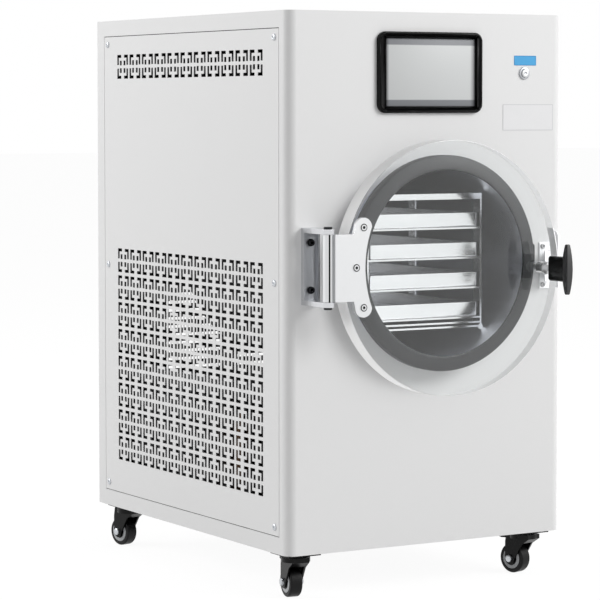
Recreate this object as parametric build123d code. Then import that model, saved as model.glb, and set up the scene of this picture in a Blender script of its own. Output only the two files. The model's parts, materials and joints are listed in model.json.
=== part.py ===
from build123d import *
import math
import os

# A bench-height freeze dryer on casters. Millimetres, +Z up, front towards -Y,
# origin on the floor under the middle of the cabinet.

# Cabinet
CABINET_WIDTH = 431
CABINET_DEPTH = 547
CABINET_HEIGHT = 700
CASTER_HEIGHT = 60
SHEET = 1.5
CORNER_RADIUS = 14
FIT = 0.3
RUNNING_FIT = 0.1
CUT = 1
RETURN_FLANGE = 16
RIM_FLANGE = 10
BASE_SHEET = 2
BASE_FLANGE = 14

# Side access panels
PANEL_GAP = 1
PANEL_MARGIN_FRONT = 21
PANEL_MARGIN_BACK = 22
PANEL_MARGIN_TOP = 22
PANEL_MARGIN_BOTTOM = 22.5
LEDGE_WIDTH = 20
LEDGE_LAP = 6
VENT_CELL = 34
VENT_BAR = 4.6
VENT_COLUMNS = 11
VENT_ROWS = 8
VENT_TOP_ROW_BELOW_TOP = 66
VENT_GRID_BELOW_TOP = 477.5
PANEL_SCREW_INSET = 12
PANEL_SCREW_RADIUS = 4.5
PANEL_SCREW_HEAD = 2.2
PANEL_SCREW_SHANK = 2
COVER_SCREW_INSET = 60

# Vacuum chamber, its gasket, insulation and stand
CHAMBER_BELOW_TOP = 327
CHAMBER_RADIUS = 130
CHAMBER_WALL = 3
CHAMBER_LENGTH = 400
CHAMBER_RIM = 22
CHAMBER_RING = 17
GASKET_LAP = 8
GASKET_BACK = 16.5
GASKET_SHOULDER = 30
GASKET_BEVEL = 2
GASKET_LIP_OVERHANG = 8.5
INSULATION = 20
CRADLE_FROM_BACK = 200
CRADLE_WIDTH = 220
CRADLE_SHEET = 3
CRADLE_FOOT = 25
CRADLE_RIB = 30
CRADLE_TOP_BELOW_AXIS = 80

# Door
DOOR_BELOW_CHAMBER = 5.5
DOOR_OVERLAP = 36.5
DOOR_THICKNESS = 25
DOOR_STANDOFF = 33
DOOR_CHAMFER = 1.5

# Hinge
HINGE_FROM_DOOR = 20.5
HINGE_HALF_HEIGHT = 43
HINGE_PIN_RADIUS = 4
HINGE_PIN_HEAD = 3
HINGE_PIN_HEAD_RADIUS = 5.5
KNUCKLE_RADIUS = 7
BRACKET_OFFSET = 4
BRACKET_WIDTH = 24
BRACKET_FLANGE = 6.5
BRACKET_BACK = 3
BRACKET_LIP = 4
BRACKET_LIP_WIDTH = 2.5
BRACKET_CHEEK = 28
BRACKET_NOSE_RADIUS = 8.5
BRACKET_BOLT_SPAN = 61
BRACKET_BOLT_RADIUS = 3
BRACKET_BOLT_HEAD_RADIUS = 4.8
BRACKET_BOLT_HEAD = 4.5
ARM_THICKNESS = 5
ARM_ROOT = 2
ARM_SHOULDER = 32.5
ARM_CENTRE_SCREW = 36
ARM_LOBE = 47
LOBE_SPAN = 102
LOBE_RADIUS = 12.5
ARM_CONCAVE_INSET = 29
ARM_SCREW_RADIUS = 3
ARM_SCREW_DEPTH = 15
ARM_SCREW_HEAD_RADIUS = 5.2
ARM_SCREW_HEAD = 1.8

# Latch
LATCH_ABOVE_CHAMBER = -9.5
LATCH_FROM_DOOR_EDGE = 18.5
SPINDLE_RADIUS = 4.5
BUSH_WALL = 3
BUSH_FLANGE = 3
BUSH_FLANGE_LAP = 1.5
DOG_STANDOFF = 8
DOG_THICKNESS = 6
DOG_LENGTH = 30
DOG_WIDTH = 11
DOG_TIP_RADIUS = 3
KNOB_FROM_DOOR = 11
KNOB_STEM_LENGTH = 30
KNOB_STEM_HEIGHT = 33
KNOB_STEM_WIDTH = 10
KNOB_STEM_CORNER = 4
KNOB_BAR_DEPTH = 12
KNOB_BAR_LENGTH = 66
KNOB_BAR_CORNER = 2
KNOB_TIP_WIDTH = 6
KNOB_TIP_DEPTH = 6.5
KNOB_TIP_CORNER = 1.5
KEEPER_FROM_DOOR = 20
KEEPER_WIDTH = 33
KEEPER_HEIGHT = 62
KEEPER_SHEET = 2
KEEPER_LIP_FROM_DOOR = 0.5
KEEPER_LIP_WIDTH = 17
KEEPER_LIP_STANDOFF = 16.5
KEEPER_LIP_HEIGHT = 41
KEEPER_TAB_TOP = 46
KEEPER_TAB_DEPTH = 12
KEEPER_TAB_CORNER = 10
KEEPER_SCREW_OFFSET = 11.5
KEEPER_SCREW_INSET = 5
KEEPER_SCREW_SHANK = 2
KEEPER_SCREW_HEAD_RADIUS = 3.5
KEEPER_SCREW_HEAD = 2
GUARD_THICKNESS = 1.5
GUARD_START = 4
GUARD_SWEEP = 13

# Display and power button
CONTROLS_BELOW_TOP = 78.5
BEZEL_WIDTH = 163
BEZEL_HEIGHT = 106
BEZEL_CORNER = 12
BEZEL_THICKNESS = 6
BEZEL_EDGE = 1.5
BEZEL_SIDE = 11.75
BEZEL_RAIL = 8.75
SCREEN_RECESS = 2
GLASS_THICKNESS = 2.5
MODULE_FIT = 1
BOARD_THICKNESS = 1.6
BOARD_OVERLAP = 8
BOARD_STANDOFF = 6
SPACER_RADIUS = 3
SPACER_INSET = 4
BUTTON_FROM_SIDE = 63.5
BUTTON_RING_LAP = 1.5
BUTTON_RING_DEPTH = 2
BUTTON_RING_EDGE = 0.8
BUTTON_BARREL_RADIUS = 8
BUTTON_BARREL_LENGTH = 24
BUTTON_WALL = 1.8
BUTTON_BORE_DEPTH = 12
BUTTON_CAP_DEPTH = 9
BUTTON_CAP_EDGE = 0.6
BUTTON_TRAVEL = 2

# Tray rack and trays
RACK_WIDTH_RATIO = 1.385
RACK_BACK_ROOM = 24
RACK_SETBACK = 19
RACK_BASE_HEIGHT = 8
RACK_FRONT_LIP = 8
RACK_POST = 16
SHELF_THICKNESS = 2.5
TRAY_COUNT = 4
FIRST_TRAY_DROP = 45
LAST_TRAY_LIFT = 14.6
TRAY_SIDE_ROOM = 6
TRAY_SETBACK = 2
TRAY_BACK_ROOM = 5
TRAY_HEIGHT = 19
TRAY_WALL = 1.2
TRAY_EDGE = 2
RACK_FOOT_RADIUS = 4
RACK_FOOT_LENGTH = 10
RACK_FOOT_INSET = 1.5

# Compressor
COMPRESSOR_FROM_SIDE = 145.5
COMPRESSOR_FROM_BACK = 98.5
COMPRESSOR_RADIUS = 60
COMPRESSOR_DOME = 25
COMPRESSOR_BELOW_JACKET = 43
COMPRESSOR_FOOT_LENGTH = 150
COMPRESSOR_FOOT_WIDTH = 110
COMPRESSOR_FOOT_THICKNESS = 3
TERMINAL_COVER_DEPTH = 25
TERMINAL_COVER_WIDTH = 50
TERMINAL_COVER_HEIGHT = 60
TERMINAL_COVER_LIFT = 40
GROMMET_RADIUS = 9
GROMMET_HEIGHT = 12
GROMMET_INSET = 13

# Condenser, fan and refrigerant circuit
CONDENSER_FROM_SIDE = 7.5
CONDENSER_DEPTH = 40
CONDENSER_HEIGHT = 200
CONDENSER_START = 213.5
CONDENSER_LENGTH = 230
CONDENSER_PLATE = 2
FIN_PITCH = 12
FIN_THICKNESS = 1.2
COIL_ROWS = 5
COIL_TUBE_RADIUS = 5
COIL_TUBE_END = 6
FAN_RADIUS = 82
FAN_BLADES = 5
FAN_HUB_RADIUS = 22
FAN_HUB_DEPTH = 18
FAN_HUB_SETBACK = 8
FAN_SHAFT_RADIUS = 4
FAN_SHAFT_ENGAGED = 9
FAN_BLADE_PITCH = 28
FAN_BLADE_WIDTH = 34
FAN_BLADE_THICKNESS = 2.5
FAN_BLADE_ROOT = 15
FAN_TIP_CLEARANCE = 4
SHROUD_DEPTH = 30
SHROUD_BORDER = 9
SHROUD_ARM_HEIGHT = 20
SHROUD_ARM_THICKNESS = 4
FAN_MOTOR_LENGTH = 35
DRYER_RADIUS = 11
DRYER_LENGTH = 90
DRYER_STUB_RADIUS = 3.5
DRYER_STUB = 15
DRYER_LIFT = 60
DRYER_FROM_CONDENSER = 24
DRYER_STRAP_HEIGHT = 15
LINE_RADIUS = 4
LINE_BEND = 12
LINE_RUN_OUT = 28
SUCTION_FROM_COMPRESSOR = 25
SUCTION_FROM_BACK = 90

# Electronics
SHELF_ABOVE_JACKET = 14
ELECTRONICS_FLANGE = 12
SUPPLY_FROM_SIDE = 35.5
SUPPLY_WIDTH = 100
SUPPLY_LENGTH = 180
SUPPLY_HEIGHT = 42
CONTROL_BOARD_X = -20
CONTROL_BOARD_WIDTH = 180
CONTROL_BOARD_LENGTH = 140
CONTROL_BOARD_LIFT = 8
RELAY_COUNT = 4
RELAY_WIDTH = 20
RELAY_PITCH = 32
RELAY_LENGTH = 30
RELAY_HEIGHT = 16.4
TERMINAL_STRIP_LENGTH = 120
TERMINAL_STRIP_WIDTH = 12
TERMINAL_STRIP_HEIGHT = 12.4

# Casters
FRONT_CASTER_INSET = 26.5
REAR_CASTER_INSET = 45.5
LEFT_CASTER_INSET = 27.5
RIGHT_CASTER_INSET = 42.5
CASTER_PLATE = 48
CASTER_PLATE_THICKNESS = 2
CASTER_SLOT_LENGTH = 9
CASTER_SLOT_WIDTH = 5
CASTER_SLOT_INSET = 7
CASTER_RACE_RADIUS = 15
CASTER_RACE_HEIGHT = 3
WHEEL_SIDE_ROOM = 1
WHEEL_ROOM = 2.5
WHEEL_EDGE = 1.5
WHEEL_TRAIL = 15
FORK_GAP = 19
FORK_SHEET = 2.5
FORK_CROWN_RADIUS = 19
FORK_CROWN_DEPTH = 6
FORK_CHEEK_RADIUS = 8
AXLE_RADIUS = 3
AXLE_HEAD_RADIUS = 5
AXLE_HEAD = 3
PEDAL_TRAIL = 16
PEDAL_BELOW_CROWN = 7.5
PEDAL_WIDTH = 15
PEDAL_LENGTH = 22
PEDAL_EYE_RADIUS = 4
PEDAL_PIN_RADIUS = 1.8
PEDAL_SIDE_ROOM = 0.5

# Rear fittings
PORT_ABOVE_CHAMBER = 60
PORT_BORE = 13
PORT_WALL = 1
PORT_FLANGE_LAP = 6
PORT_FLANGE_THICKNESS = 3
PORT_FLANGE_TAPER = 2
PORT_STANDOFF = 14
INLET_FROM_SIDE = 65.5
INLET_Z = 120
INLET_WIDTH = 28
INLET_HEIGHT = 20
INLET_DEPTH = 24
INLET_WALL = 2
INLET_RECESS = 16
INLET_FLANGE_WIDTH = 48
INLET_FLANGE_HEIGHT = 28
INLET_FLANGE_THICKNESS = 3
INLET_PIN_LENGTH = 10
INLET_PIN_WIDTH = 2
INLET_PIN_HEIGHT = 4
INLET_PIN_SPACING = 7
DRAIN_FROM_SIDE = 95.5
DRAIN_Z = 150
DRAIN_BODY_RADIUS = 9
DRAIN_BODY_LENGTH = 26
DRAIN_NECK_RADIUS = 7
DRAIN_TAIL_RADIUS = 6
DRAIN_TAIL_LENGTH = 16
DRAIN_BORE_RADIUS = 4
DRAIN_STEM_RADIUS = 6
DRAIN_STEM_HEIGHT = 13
DRAIN_LEVER_LENGTH = 44
DRAIN_LEVER_WIDTH = 10
DRAIN_LEVER_THICKNESS = 2.5
DRAIN_TUBE_RADIUS = 5
DRAIN_TUBE_BEND = 10
DRAIN_START_X = 20
DRAIN_START_FROM_BACK = 25
DRAIN_RUN_BELOW_JACKET = 16
LOUVRE_ROWS = 10
LOUVRE_PITCH = 12
LOUVRE_LENGTH = 90
LOUVRE_HEIGHT = 4
LOUVRE_COLUMN_X = 60
LOUVRE_START_Z = 250

# Positions that follow from the sizes above
FRONT = -CABINET_DEPTH / 2
BACK = CABINET_DEPTH / 2
SIDE = CABINET_WIDTH / 2
CABINET_BOTTOM = CASTER_HEIGHT
CABINET_TOP = CASTER_HEIGHT + CABINET_HEIGHT
FLOOR_Z = CABINET_BOTTOM + BASE_SHEET
LEDGE_FACE = SIDE - 2 * SHEET
WINDOW_LENGTH = CABINET_DEPTH - PANEL_MARGIN_FRONT - PANEL_MARGIN_BACK
WINDOW_HEIGHT = CABINET_HEIGHT - PANEL_MARGIN_TOP - PANEL_MARGIN_BOTTOM
WINDOW_Y = (PANEL_MARGIN_FRONT - PANEL_MARGIN_BACK) / 2
WINDOW_Z = CABINET_BOTTOM + PANEL_MARGIN_BOTTOM + WINDOW_HEIGHT / 2
VENT_PITCH = VENT_CELL + VENT_BAR

CHAMBER_Z = CABINET_TOP - CHAMBER_BELOW_TOP
CHAMBER_OUTER = CHAMBER_RADIUS + CHAMBER_WALL
CHAMBER_MOUTH_Y = FRONT - CHAMBER_RIM
CHAMBER_BACK_Y = CHAMBER_MOUTH_Y + CHAMBER_LENGTH
JACKET_RADIUS = CHAMBER_OUTER + INSULATION
GASKET_RADIUS = CHAMBER_OUTER + GASKET_LAP
GASKET_LIP_RADIUS = CHAMBER_RADIUS - GASKET_LIP_OVERHANG
GASKET_CREST = DOOR_STANDOFF - FIT

DOOR_Z = CHAMBER_Z - DOOR_BELOW_CHAMBER
DOOR_RADIUS = CHAMBER_RADIUS + DOOR_OVERLAP
DOOR_BACK = FRONT - DOOR_STANDOFF
DOOR_FRONT = DOOR_BACK - DOOR_THICKNESS
HINGE_X = -DOOR_RADIUS - HINGE_FROM_DOOR
HINGE_Y = DOOR_FRONT + ARM_THICKNESS
BRACKET_X = HINGE_X + BRACKET_OFFSET
LOBE_X = HINGE_X + ARM_LOBE
ARM_SHOULDER_X = HINGE_X + ARM_SHOULDER
ARM_CENTRE_SCREW_X = HINGE_X + ARM_CENTRE_SCREW
ARM_CONCAVE_RADIUS = DOOR_RADIUS - ARM_CONCAVE_INSET
LATCH_X = DOOR_RADIUS - LATCH_FROM_DOOR_EDGE
LATCH_Z = CHAMBER_Z + LATCH_ABOVE_CHAMBER
BUSH_RADIUS = SPINDLE_RADIUS + BUSH_WALL
KNOB_BACK = DOOR_FRONT - KNOB_FROM_DOOR
KNOB_BAR_BACK = KNOB_BACK - KNOB_STEM_LENGTH
KNOB_BAR_FRONT = KNOB_BAR_BACK - KNOB_BAR_DEPTH
KEEPER_X = DOOR_RADIUS + KEEPER_FROM_DOOR
KEEPER_LIP_X = DOOR_RADIUS + KEEPER_LIP_FROM_DOOR

CONTROLS_Z = CABINET_TOP - CONTROLS_BELOW_TOP
SCREEN_WIDTH = BEZEL_WIDTH - 2 * BEZEL_SIDE
SCREEN_HEIGHT = BEZEL_HEIGHT - 2 * BEZEL_RAIL
BUTTON_X = SIDE - BUTTON_FROM_SIDE
BUTTON_RING_RADIUS = BUTTON_BARREL_RADIUS + BUTTON_RING_LAP
BUTTON_CAP_RADIUS = BUTTON_BARREL_RADIUS - BUTTON_WALL

RACK_WIDTH = CHAMBER_RADIUS * RACK_WIDTH_RATIO
RACK_TOP = CHAMBER_Z + RACK_WIDTH / 2 - 1
RACK_BOTTOM = CHAMBER_Z - RACK_WIDTH / 2
RACK_FRONT = FRONT + RACK_SETBACK
RACK_BACK = CHAMBER_BACK_Y - RACK_BACK_ROOM
RACK_FOOT_X = RACK_WIDTH / 2 - RACK_FOOT_INSET
TRAY_WIDTH = RACK_WIDTH - 2 * TRAY_SIDE_ROOM
TRAY_PITCH = (RACK_TOP - RACK_BOTTOM - FIRST_TRAY_DROP - LAST_TRAY_LIFT) / (TRAY_COUNT - 1)

COMPRESSOR_X = SIDE - COMPRESSOR_FROM_SIDE
COMPRESSOR_Y = BACK - COMPRESSOR_FROM_BACK
SUCTION_X = COMPRESSOR_X + SUCTION_FROM_COMPRESSOR
COMPRESSOR_BASE = FLOOR_Z + GROMMET_HEIGHT
COMPRESSOR_TOP = CHAMBER_Z - JACKET_RADIUS - COMPRESSOR_BELOW_JACKET
CONDENSER_X0 = -LEDGE_FACE + CONDENSER_FROM_SIDE
CONDENSER_X1 = CONDENSER_X0 + CONDENSER_DEPTH
CONDENSER_X = (CONDENSER_X0 + CONDENSER_X1) / 2
CONDENSER_Y0 = FRONT + CONDENSER_START
CONDENSER_Y1 = CONDENSER_Y0 + CONDENSER_LENGTH
CONDENSER_Z1 = FLOOR_Z + CONDENSER_HEIGHT
FAN_Y = (CONDENSER_Y0 + CONDENSER_Y1) / 2
FAN_Z = FLOOR_Z + CONDENSER_HEIGHT / 2
SHROUD_BACK = CONDENSER_X1 + SHROUD_DEPTH
SHELF_Z = CHAMBER_Z + JACKET_RADIUS + SHELF_ABOVE_JACKET
BOARD_Z = SHELF_Z + SHEET

WHEEL_RADIUS = CASTER_HEIGHT / 3
WHEEL_WIDTH = FORK_GAP - 2 * WHEEL_SIDE_ROOM
PLATE_Z = CASTER_HEIGHT - CASTER_PLATE_THICKNESS
FORK_TOP_Z = PLATE_Z - CASTER_RACE_HEIGHT
PEDAL_Z = FORK_TOP_Z - PEDAL_BELOW_CROWN
LEFT_CASTER_X = -SIDE + LEFT_CASTER_INSET
RIGHT_CASTER_X = SIDE - RIGHT_CASTER_INSET
FRONT_CASTER_Y = FRONT + FRONT_CASTER_INSET
REAR_CASTER_Y = BACK - REAR_CASTER_INSET

PORT_Z = CHAMBER_Z + PORT_ABOVE_CHAMBER
PORT_PIPE = PORT_BORE + PORT_WALL
PORT_FLANGE = PORT_PIPE + PORT_FLANGE_LAP
INLET_X = -SIDE + INLET_FROM_SIDE
DRAIN_X = SIDE - DRAIN_FROM_SIDE
DRAIN_START_Y = CHAMBER_BACK_Y - DRAIN_START_FROM_BACK

# Place of each caster and the angle it rests at; 180 degrees trails to the back.
CASTERS = {
    "front_left": (LEFT_CASTER_X, FRONT_CASTER_Y, 171.5),
    "front_right": (RIGHT_CASTER_X, FRONT_CASTER_Y, 195),
    "rear_left": (LEFT_CASTER_X, REAR_CASTER_Y, 193),
    "rear_right": (RIGHT_CASTER_X, REAR_CASTER_Y, 187),
}
BRAKED_CASTERS = ("front_left", "front_right")


def rod_x(radius, x0, x1, y, z):
    """A round bar along X between two stations."""
    return Pos((x0 + x1) / 2, y, z) * Rot(0, 90, 0) * Cylinder(radius, abs(x1 - x0))


def rod_y(radius, y0, y1, x, z):
    """A round bar along Y between two stations."""
    return Pos(x, (y0 + y1) / 2, z) * Rot(90, 0, 0) * Cylinder(radius, abs(y1 - y0))


def rod_z(radius, z0, z1, x, y):
    """A round bar along Z between two stations."""
    return Pos(x, y, (z0 + z1) / 2) * Cylinder(radius, abs(z1 - z0))


def block(x0, x1, y0, y1, z0, z1):
    """A box given by its limits on each axis."""
    centre = Pos((x0 + x1) / 2, (y0 + y1) / 2, (z0 + z1) / 2)
    return centre * Box(abs(x1 - x0), abs(y1 - y0), abs(z1 - z0))


def turned_y(profile, x, z):
    """A turned part about a line along Y, from (radius, y) points."""
    face = make_face(Polyline(*profile, close=True))
    return Pos(x, 0, z) * revolve(face, Axis.Y, 360)


def front_profile(outline, y0, y1):
    """An outline drawn in X and Z, given thickness between two stations of Y."""
    plane = Plane(origin=(0, y0, 0), x_dir=(1, 0, 0), z_dir=(0, -1, 0))
    return extrude(plane * outline, y0 - y1)


def cabinet_plan(inset):
    """Plan of the cabinet, inset by a distance, with its two front corners rounded."""
    plan = Rectangle(CABINET_WIDTH - 2 * inset, CABINET_DEPTH - 2 * inset)
    front_corners = plan.vertices().group_by(Axis.Y)[0]
    return fillet(front_corners, CORNER_RADIUS - inset)


def plan_slab(inset, z0, z1):
    """A slab of the cabinet's plan between two heights."""
    return Pos(0, 0, z0) * extrude(cabinet_plan(inset), z1 - z0)


def side_slab(side, outer, thickness, length, height):
    """A plate in the side window's place, its outer face at a distance from the middle."""
    x = side * (outer - thickness / 2)
    return Pos(x, WINDOW_Y, WINDOW_Z) * Box(thickness, length, height)


def panel_screw_places():
    """Y and Z of the six screws of one access panel."""
    half_length = WINDOW_LENGTH / 2 - PANEL_SCREW_INSET
    half_height = WINDOW_HEIGHT / 2 - PANEL_SCREW_INSET
    return [
        (WINDOW_Y + along * half_length, WINDOW_Z + up * half_height)
        for along in (-1, 1)
        for up in (-1, 0, 1)
    ]


def side_ledge(side):
    """The joggled frame behind the side window that the access panel lies on."""
    outer = SIDE - SHEET
    lap = 2 * LEDGE_LAP
    frame = side_slab(side, outer, SHEET, WINDOW_LENGTH + lap, WINDOW_HEIGHT + lap)
    opening_length = WINDOW_LENGTH - 2 * LEDGE_WIDTH
    opening_height = WINDOW_HEIGHT - 2 * LEDGE_WIDTH
    frame -= side_slab(side, outer, SHEET, opening_length, opening_height)
    for y, z in panel_screw_places():
        frame -= rod_x(PANEL_SCREW_SHANK, side * LEDGE_FACE, side * outer, y, z)
    return frame


def cabinet_wrap():
    """Front panel and both side frames, folded from one sheet."""
    wrap = plan_slab(0, CABINET_BOTTOM, CABINET_TOP)
    wrap -= plan_slab(SHEET, CABINET_BOTTOM, CABINET_TOP)
    half_inner = SIDE - SHEET
    wrap -= block(-half_inner, half_inner, 0, BACK, CABINET_BOTTOM, CABINET_TOP)
    flange_bottom = CABINET_BOTTOM + BASE_FLANGE + FIT
    flange_top = CABINET_TOP - 2 * SHEET
    for side in (-1, 1):
        x_wall = side * half_inner
        x_edge = side * (half_inner - RETURN_FLANGE)
        wrap += block(x_edge, x_wall, BACK - 2 * SHEET, BACK - SHEET, flange_bottom, flange_top)
        wrap -= side_slab(side, SIDE, SHEET, WINDOW_LENGTH, WINDOW_HEIGHT)
        wrap += side_ledge(side)
    rim = plan_slab(SHEET, CABINET_TOP - 2 * SHEET, CABINET_TOP - SHEET)
    rim -= plan_slab(SHEET + RIM_FLANGE, CABINET_TOP - 2 * SHEET, CABINET_TOP - SHEET)
    wrap += rim
    y0 = FRONT - CUT
    y1 = FRONT + SHEET + CUT
    mouth = rod_y(CHAMBER_OUTER + CUT, y0, y1, 0, CHAMBER_Z)
    display = block(-SCREEN_WIDTH / 2, SCREEN_WIDTH / 2, y0, y1,
                    CONTROLS_Z - SCREEN_HEIGHT / 2, CONTROLS_Z + SCREEN_HEIGHT / 2)
    button = rod_y(BUTTON_BARREL_RADIUS, y0, y1, BUTTON_X, CONTROLS_Z)
    return wrap - mouth - display - button


def top_panel():
    """Lid sheet, flush inside the top of the wrap."""
    return plan_slab(SHEET + FIT, CABINET_TOP - SHEET, CABINET_TOP)


def base_pan():
    """Floor of the cabinet, with a flange turned up all round."""
    pan = plan_slab(SHEET, CABINET_BOTTOM, CABINET_BOTTOM + BASE_FLANGE)
    return pan - plan_slab(2 * SHEET, FLOOR_Z, CABINET_BOTTOM + BASE_FLANGE)


def back_panel():
    """Rear cover, with louvre slots and the holes of the rear fittings."""
    half = SIDE - SHEET - FIT
    y0 = BACK - SHEET - CUT
    y1 = BACK + CUT
    panel = block(-half, half, BACK - SHEET, BACK, CABINET_BOTTOM, CABINET_TOP - FIT)
    for x in (-LOUVRE_COLUMN_X, LOUVRE_COLUMN_X):
        for row in range(LOUVRE_ROWS):
            z = LOUVRE_START_Z + row * LOUVRE_PITCH
            panel -= block(x - LOUVRE_LENGTH / 2, x + LOUVRE_LENGTH / 2, y0, y1, z, z + LOUVRE_HEIGHT)
    panel -= rod_y(PORT_PIPE, y0, y1, 0, PORT_Z)
    panel -= block(INLET_X - INLET_WIDTH / 2, INLET_X + INLET_WIDTH / 2, y0, y1,
                   INLET_Z - INLET_HEIGHT / 2, INLET_Z + INLET_HEIGHT / 2)
    return panel - rod_y(DRAIN_NECK_RADIUS, y0, y1, DRAIN_X, DRAIN_Z)


def vent_centres():
    """Y and Z of every vent cell: one row near the top and a grid lower down."""
    columns = [WINDOW_Y + (i - (VENT_COLUMNS - 1) / 2) * VENT_PITCH for i in range(VENT_COLUMNS)]
    grid_z = CABINET_TOP - VENT_GRID_BELOW_TOP
    rows = [grid_z + (i - (VENT_ROWS - 1) / 2) * VENT_PITCH for i in range(VENT_ROWS)]
    rows.append(CABINET_TOP - VENT_TOP_ROW_BELOW_TOP)
    return [(y, z) for z in rows for y in columns]


def side_panel(side):
    """Access panel with its vent cells and screw holes."""
    length = WINDOW_LENGTH - 2 * PANEL_GAP
    height = WINDOW_HEIGHT - 2 * PANEL_GAP
    outline = Pos(WINDOW_Y, WINDOW_Z) * Rectangle(length, height)
    cells = [Pos(y, z) * Rectangle(VENT_CELL, VENT_CELL) for y, z in vent_centres()]
    holes = [Pos(y, z) * Circle(PANEL_SCREW_SHANK) for y, z in panel_screw_places()]
    outline = outline - cells - holes
    panel = extrude(Plane.YZ * outline, SHEET)
    inner_x = SIDE - SHEET
    return Pos(inner_x if side > 0 else -inner_x - SHEET, 0, 0) * panel


def side_panel_screws():
    """Pan-head screws of both access panels."""
    screws = []
    outer = SIDE
    for side in (-1, 1):
        for y, z in panel_screw_places():
            head = rod_x(PANEL_SCREW_RADIUS, side * outer, side * (outer + PANEL_SCREW_HEAD), y, z)
            rim = head.edges().sort_by(Axis.X)[-1 if side > 0 else 0]
            head = chamfer(rim, PANEL_SCREW_HEAD / 3)
            shank = rod_x(PANEL_SCREW_SHANK, side * LEDGE_FACE, side * outer, y, z)
            screws.append(head + shank)
    return Compound(screws)


def cover_screws():
    """Screws that hold the back panel to the wrap's rear flanges."""
    x = SIDE - SHEET - RETURN_FLANGE / 2
    screws = []
    for side in (-1, 1):
        for z in (CABINET_BOTTOM + COVER_SCREW_INSET, WINDOW_Z, CABINET_TOP - COVER_SCREW_INSET):
            screws.append(rod_y(PANEL_SCREW_RADIUS, BACK, BACK + PANEL_SCREW_HEAD, side * x, z))
    return Compound(screws)


def vacuum_chamber():
    """Round chamber with a closed back and the welded ring that joins it to the front."""
    mouth = CHAMBER_MOUTH_Y
    back = CHAMBER_BACK_Y
    ring_front = FRONT + SHEET
    ring_back = ring_front + CHAMBER_WALL
    profile = [
        (0, back - CHAMBER_WALL),
        (CHAMBER_RADIUS, back - CHAMBER_WALL),
        (CHAMBER_RADIUS, mouth),
        (CHAMBER_OUTER, mouth),
        (CHAMBER_OUTER, ring_front),
        (CHAMBER_OUTER + CHAMBER_RING, ring_front),
        (CHAMBER_OUTER + CHAMBER_RING, ring_back),
        (CHAMBER_OUTER, ring_back),
        (CHAMBER_OUTER, back),
        (0, back),
    ]
    chamber = turned_y(profile, 0, CHAMBER_Z)
    return chamber - rod_y(PORT_BORE, back - CHAMBER_WALL - CUT, back + CUT, 0, PORT_Z)


def chamber_insulation():
    """Foam jacket round the chamber and over its back."""
    start = FRONT + SHEET + CHAMBER_WALL
    profile = [
        (CHAMBER_OUTER, start),
        (JACKET_RADIUS, start),
        (JACKET_RADIUS, CHAMBER_BACK_Y + INSULATION),
        (0, CHAMBER_BACK_Y + INSULATION),
        (0, CHAMBER_BACK_Y),
        (CHAMBER_OUTER, CHAMBER_BACK_Y),
    ]
    jacket = turned_y(profile, 0, CHAMBER_Z)
    jacket -= rod_z(DRAIN_TUBE_RADIUS, CHAMBER_Z - JACKET_RADIUS, CHAMBER_Z, DRAIN_START_X, DRAIN_START_Y)
    return jacket - rod_y(PORT_PIPE, CHAMBER_BACK_Y - CUT, BACK, 0, PORT_Z)


def door_gasket():
    """Ring pushed over the chamber's rim, with a lip that the door presses on."""
    profile = [
        (CHAMBER_OUTER, FRONT - GASKET_BACK),
        (GASKET_RADIUS, FRONT - GASKET_BACK),
        (GASKET_RADIUS, FRONT - GASKET_SHOULDER),
        (GASKET_RADIUS - GASKET_BEVEL, FRONT - GASKET_SHOULDER - GASKET_BEVEL / 2),
        (GASKET_LIP_RADIUS + GASKET_BEVEL / 2, FRONT - GASKET_CREST),
        (GASKET_LIP_RADIUS, FRONT - GASKET_CREST),
        (CHAMBER_RADIUS - GASKET_BEVEL, CHAMBER_MOUTH_Y),
        (CHAMBER_OUTER, CHAMBER_MOUTH_Y),
    ]
    return turned_y(profile, 0, CHAMBER_Z)


def chamber_cradle():
    """Sheet stand under the chamber, bolted to the floor."""
    y = CHAMBER_BACK_Y - CRADLE_FROM_BACK
    half = CRADLE_WIDTH / 2
    top = CHAMBER_Z - CRADLE_TOP_BELOW_AXIS
    window = half - CRADLE_RIB
    stand = block(-half, half, y, y + CRADLE_SHEET, FLOOR_Z, top)
    stand -= block(-window, window, y - CUT, y + CRADLE_SHEET + CUT,
                   FLOOR_Z + CRADLE_RIB, CHAMBER_Z - JACKET_RADIUS - CRADLE_RIB)
    stand += block(-half, half, y, y + CRADLE_FOOT, FLOOR_Z, FLOOR_Z + CRADLE_SHEET)
    return stand - rod_y(JACKET_RADIUS, y - CUT, y + CRADLE_FOOT, 0, CHAMBER_Z)


def door_disc():
    """Thick clear disc with the holes of the arm screws and of the latch bush."""
    disc = rod_y(DOOR_RADIUS, DOOR_BACK, DOOR_FRONT, 0, DOOR_Z)
    disc = chamfer(disc.edges().filter_by(GeomType.CIRCLE), DOOR_CHAMFER)
    for x, z in arm_screw_places():
        disc -= rod_y(ARM_SCREW_RADIUS, DOOR_FRONT - CUT, DOOR_FRONT + ARM_SCREW_DEPTH, x, z)
    return disc - rod_y(BUSH_RADIUS, DOOR_BACK + CUT, DOOR_FRONT - CUT, LATCH_X, LATCH_Z)


def arm_screw_places():
    """X and Z of the three screws of the door arm."""
    return [
        (LOBE_X, CHAMBER_Z + LOBE_SPAN / 2),
        (ARM_CENTRE_SCREW_X, CHAMBER_Z),
        (LOBE_X, CHAMBER_Z - LOBE_SPAN / 2),
    ]


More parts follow.
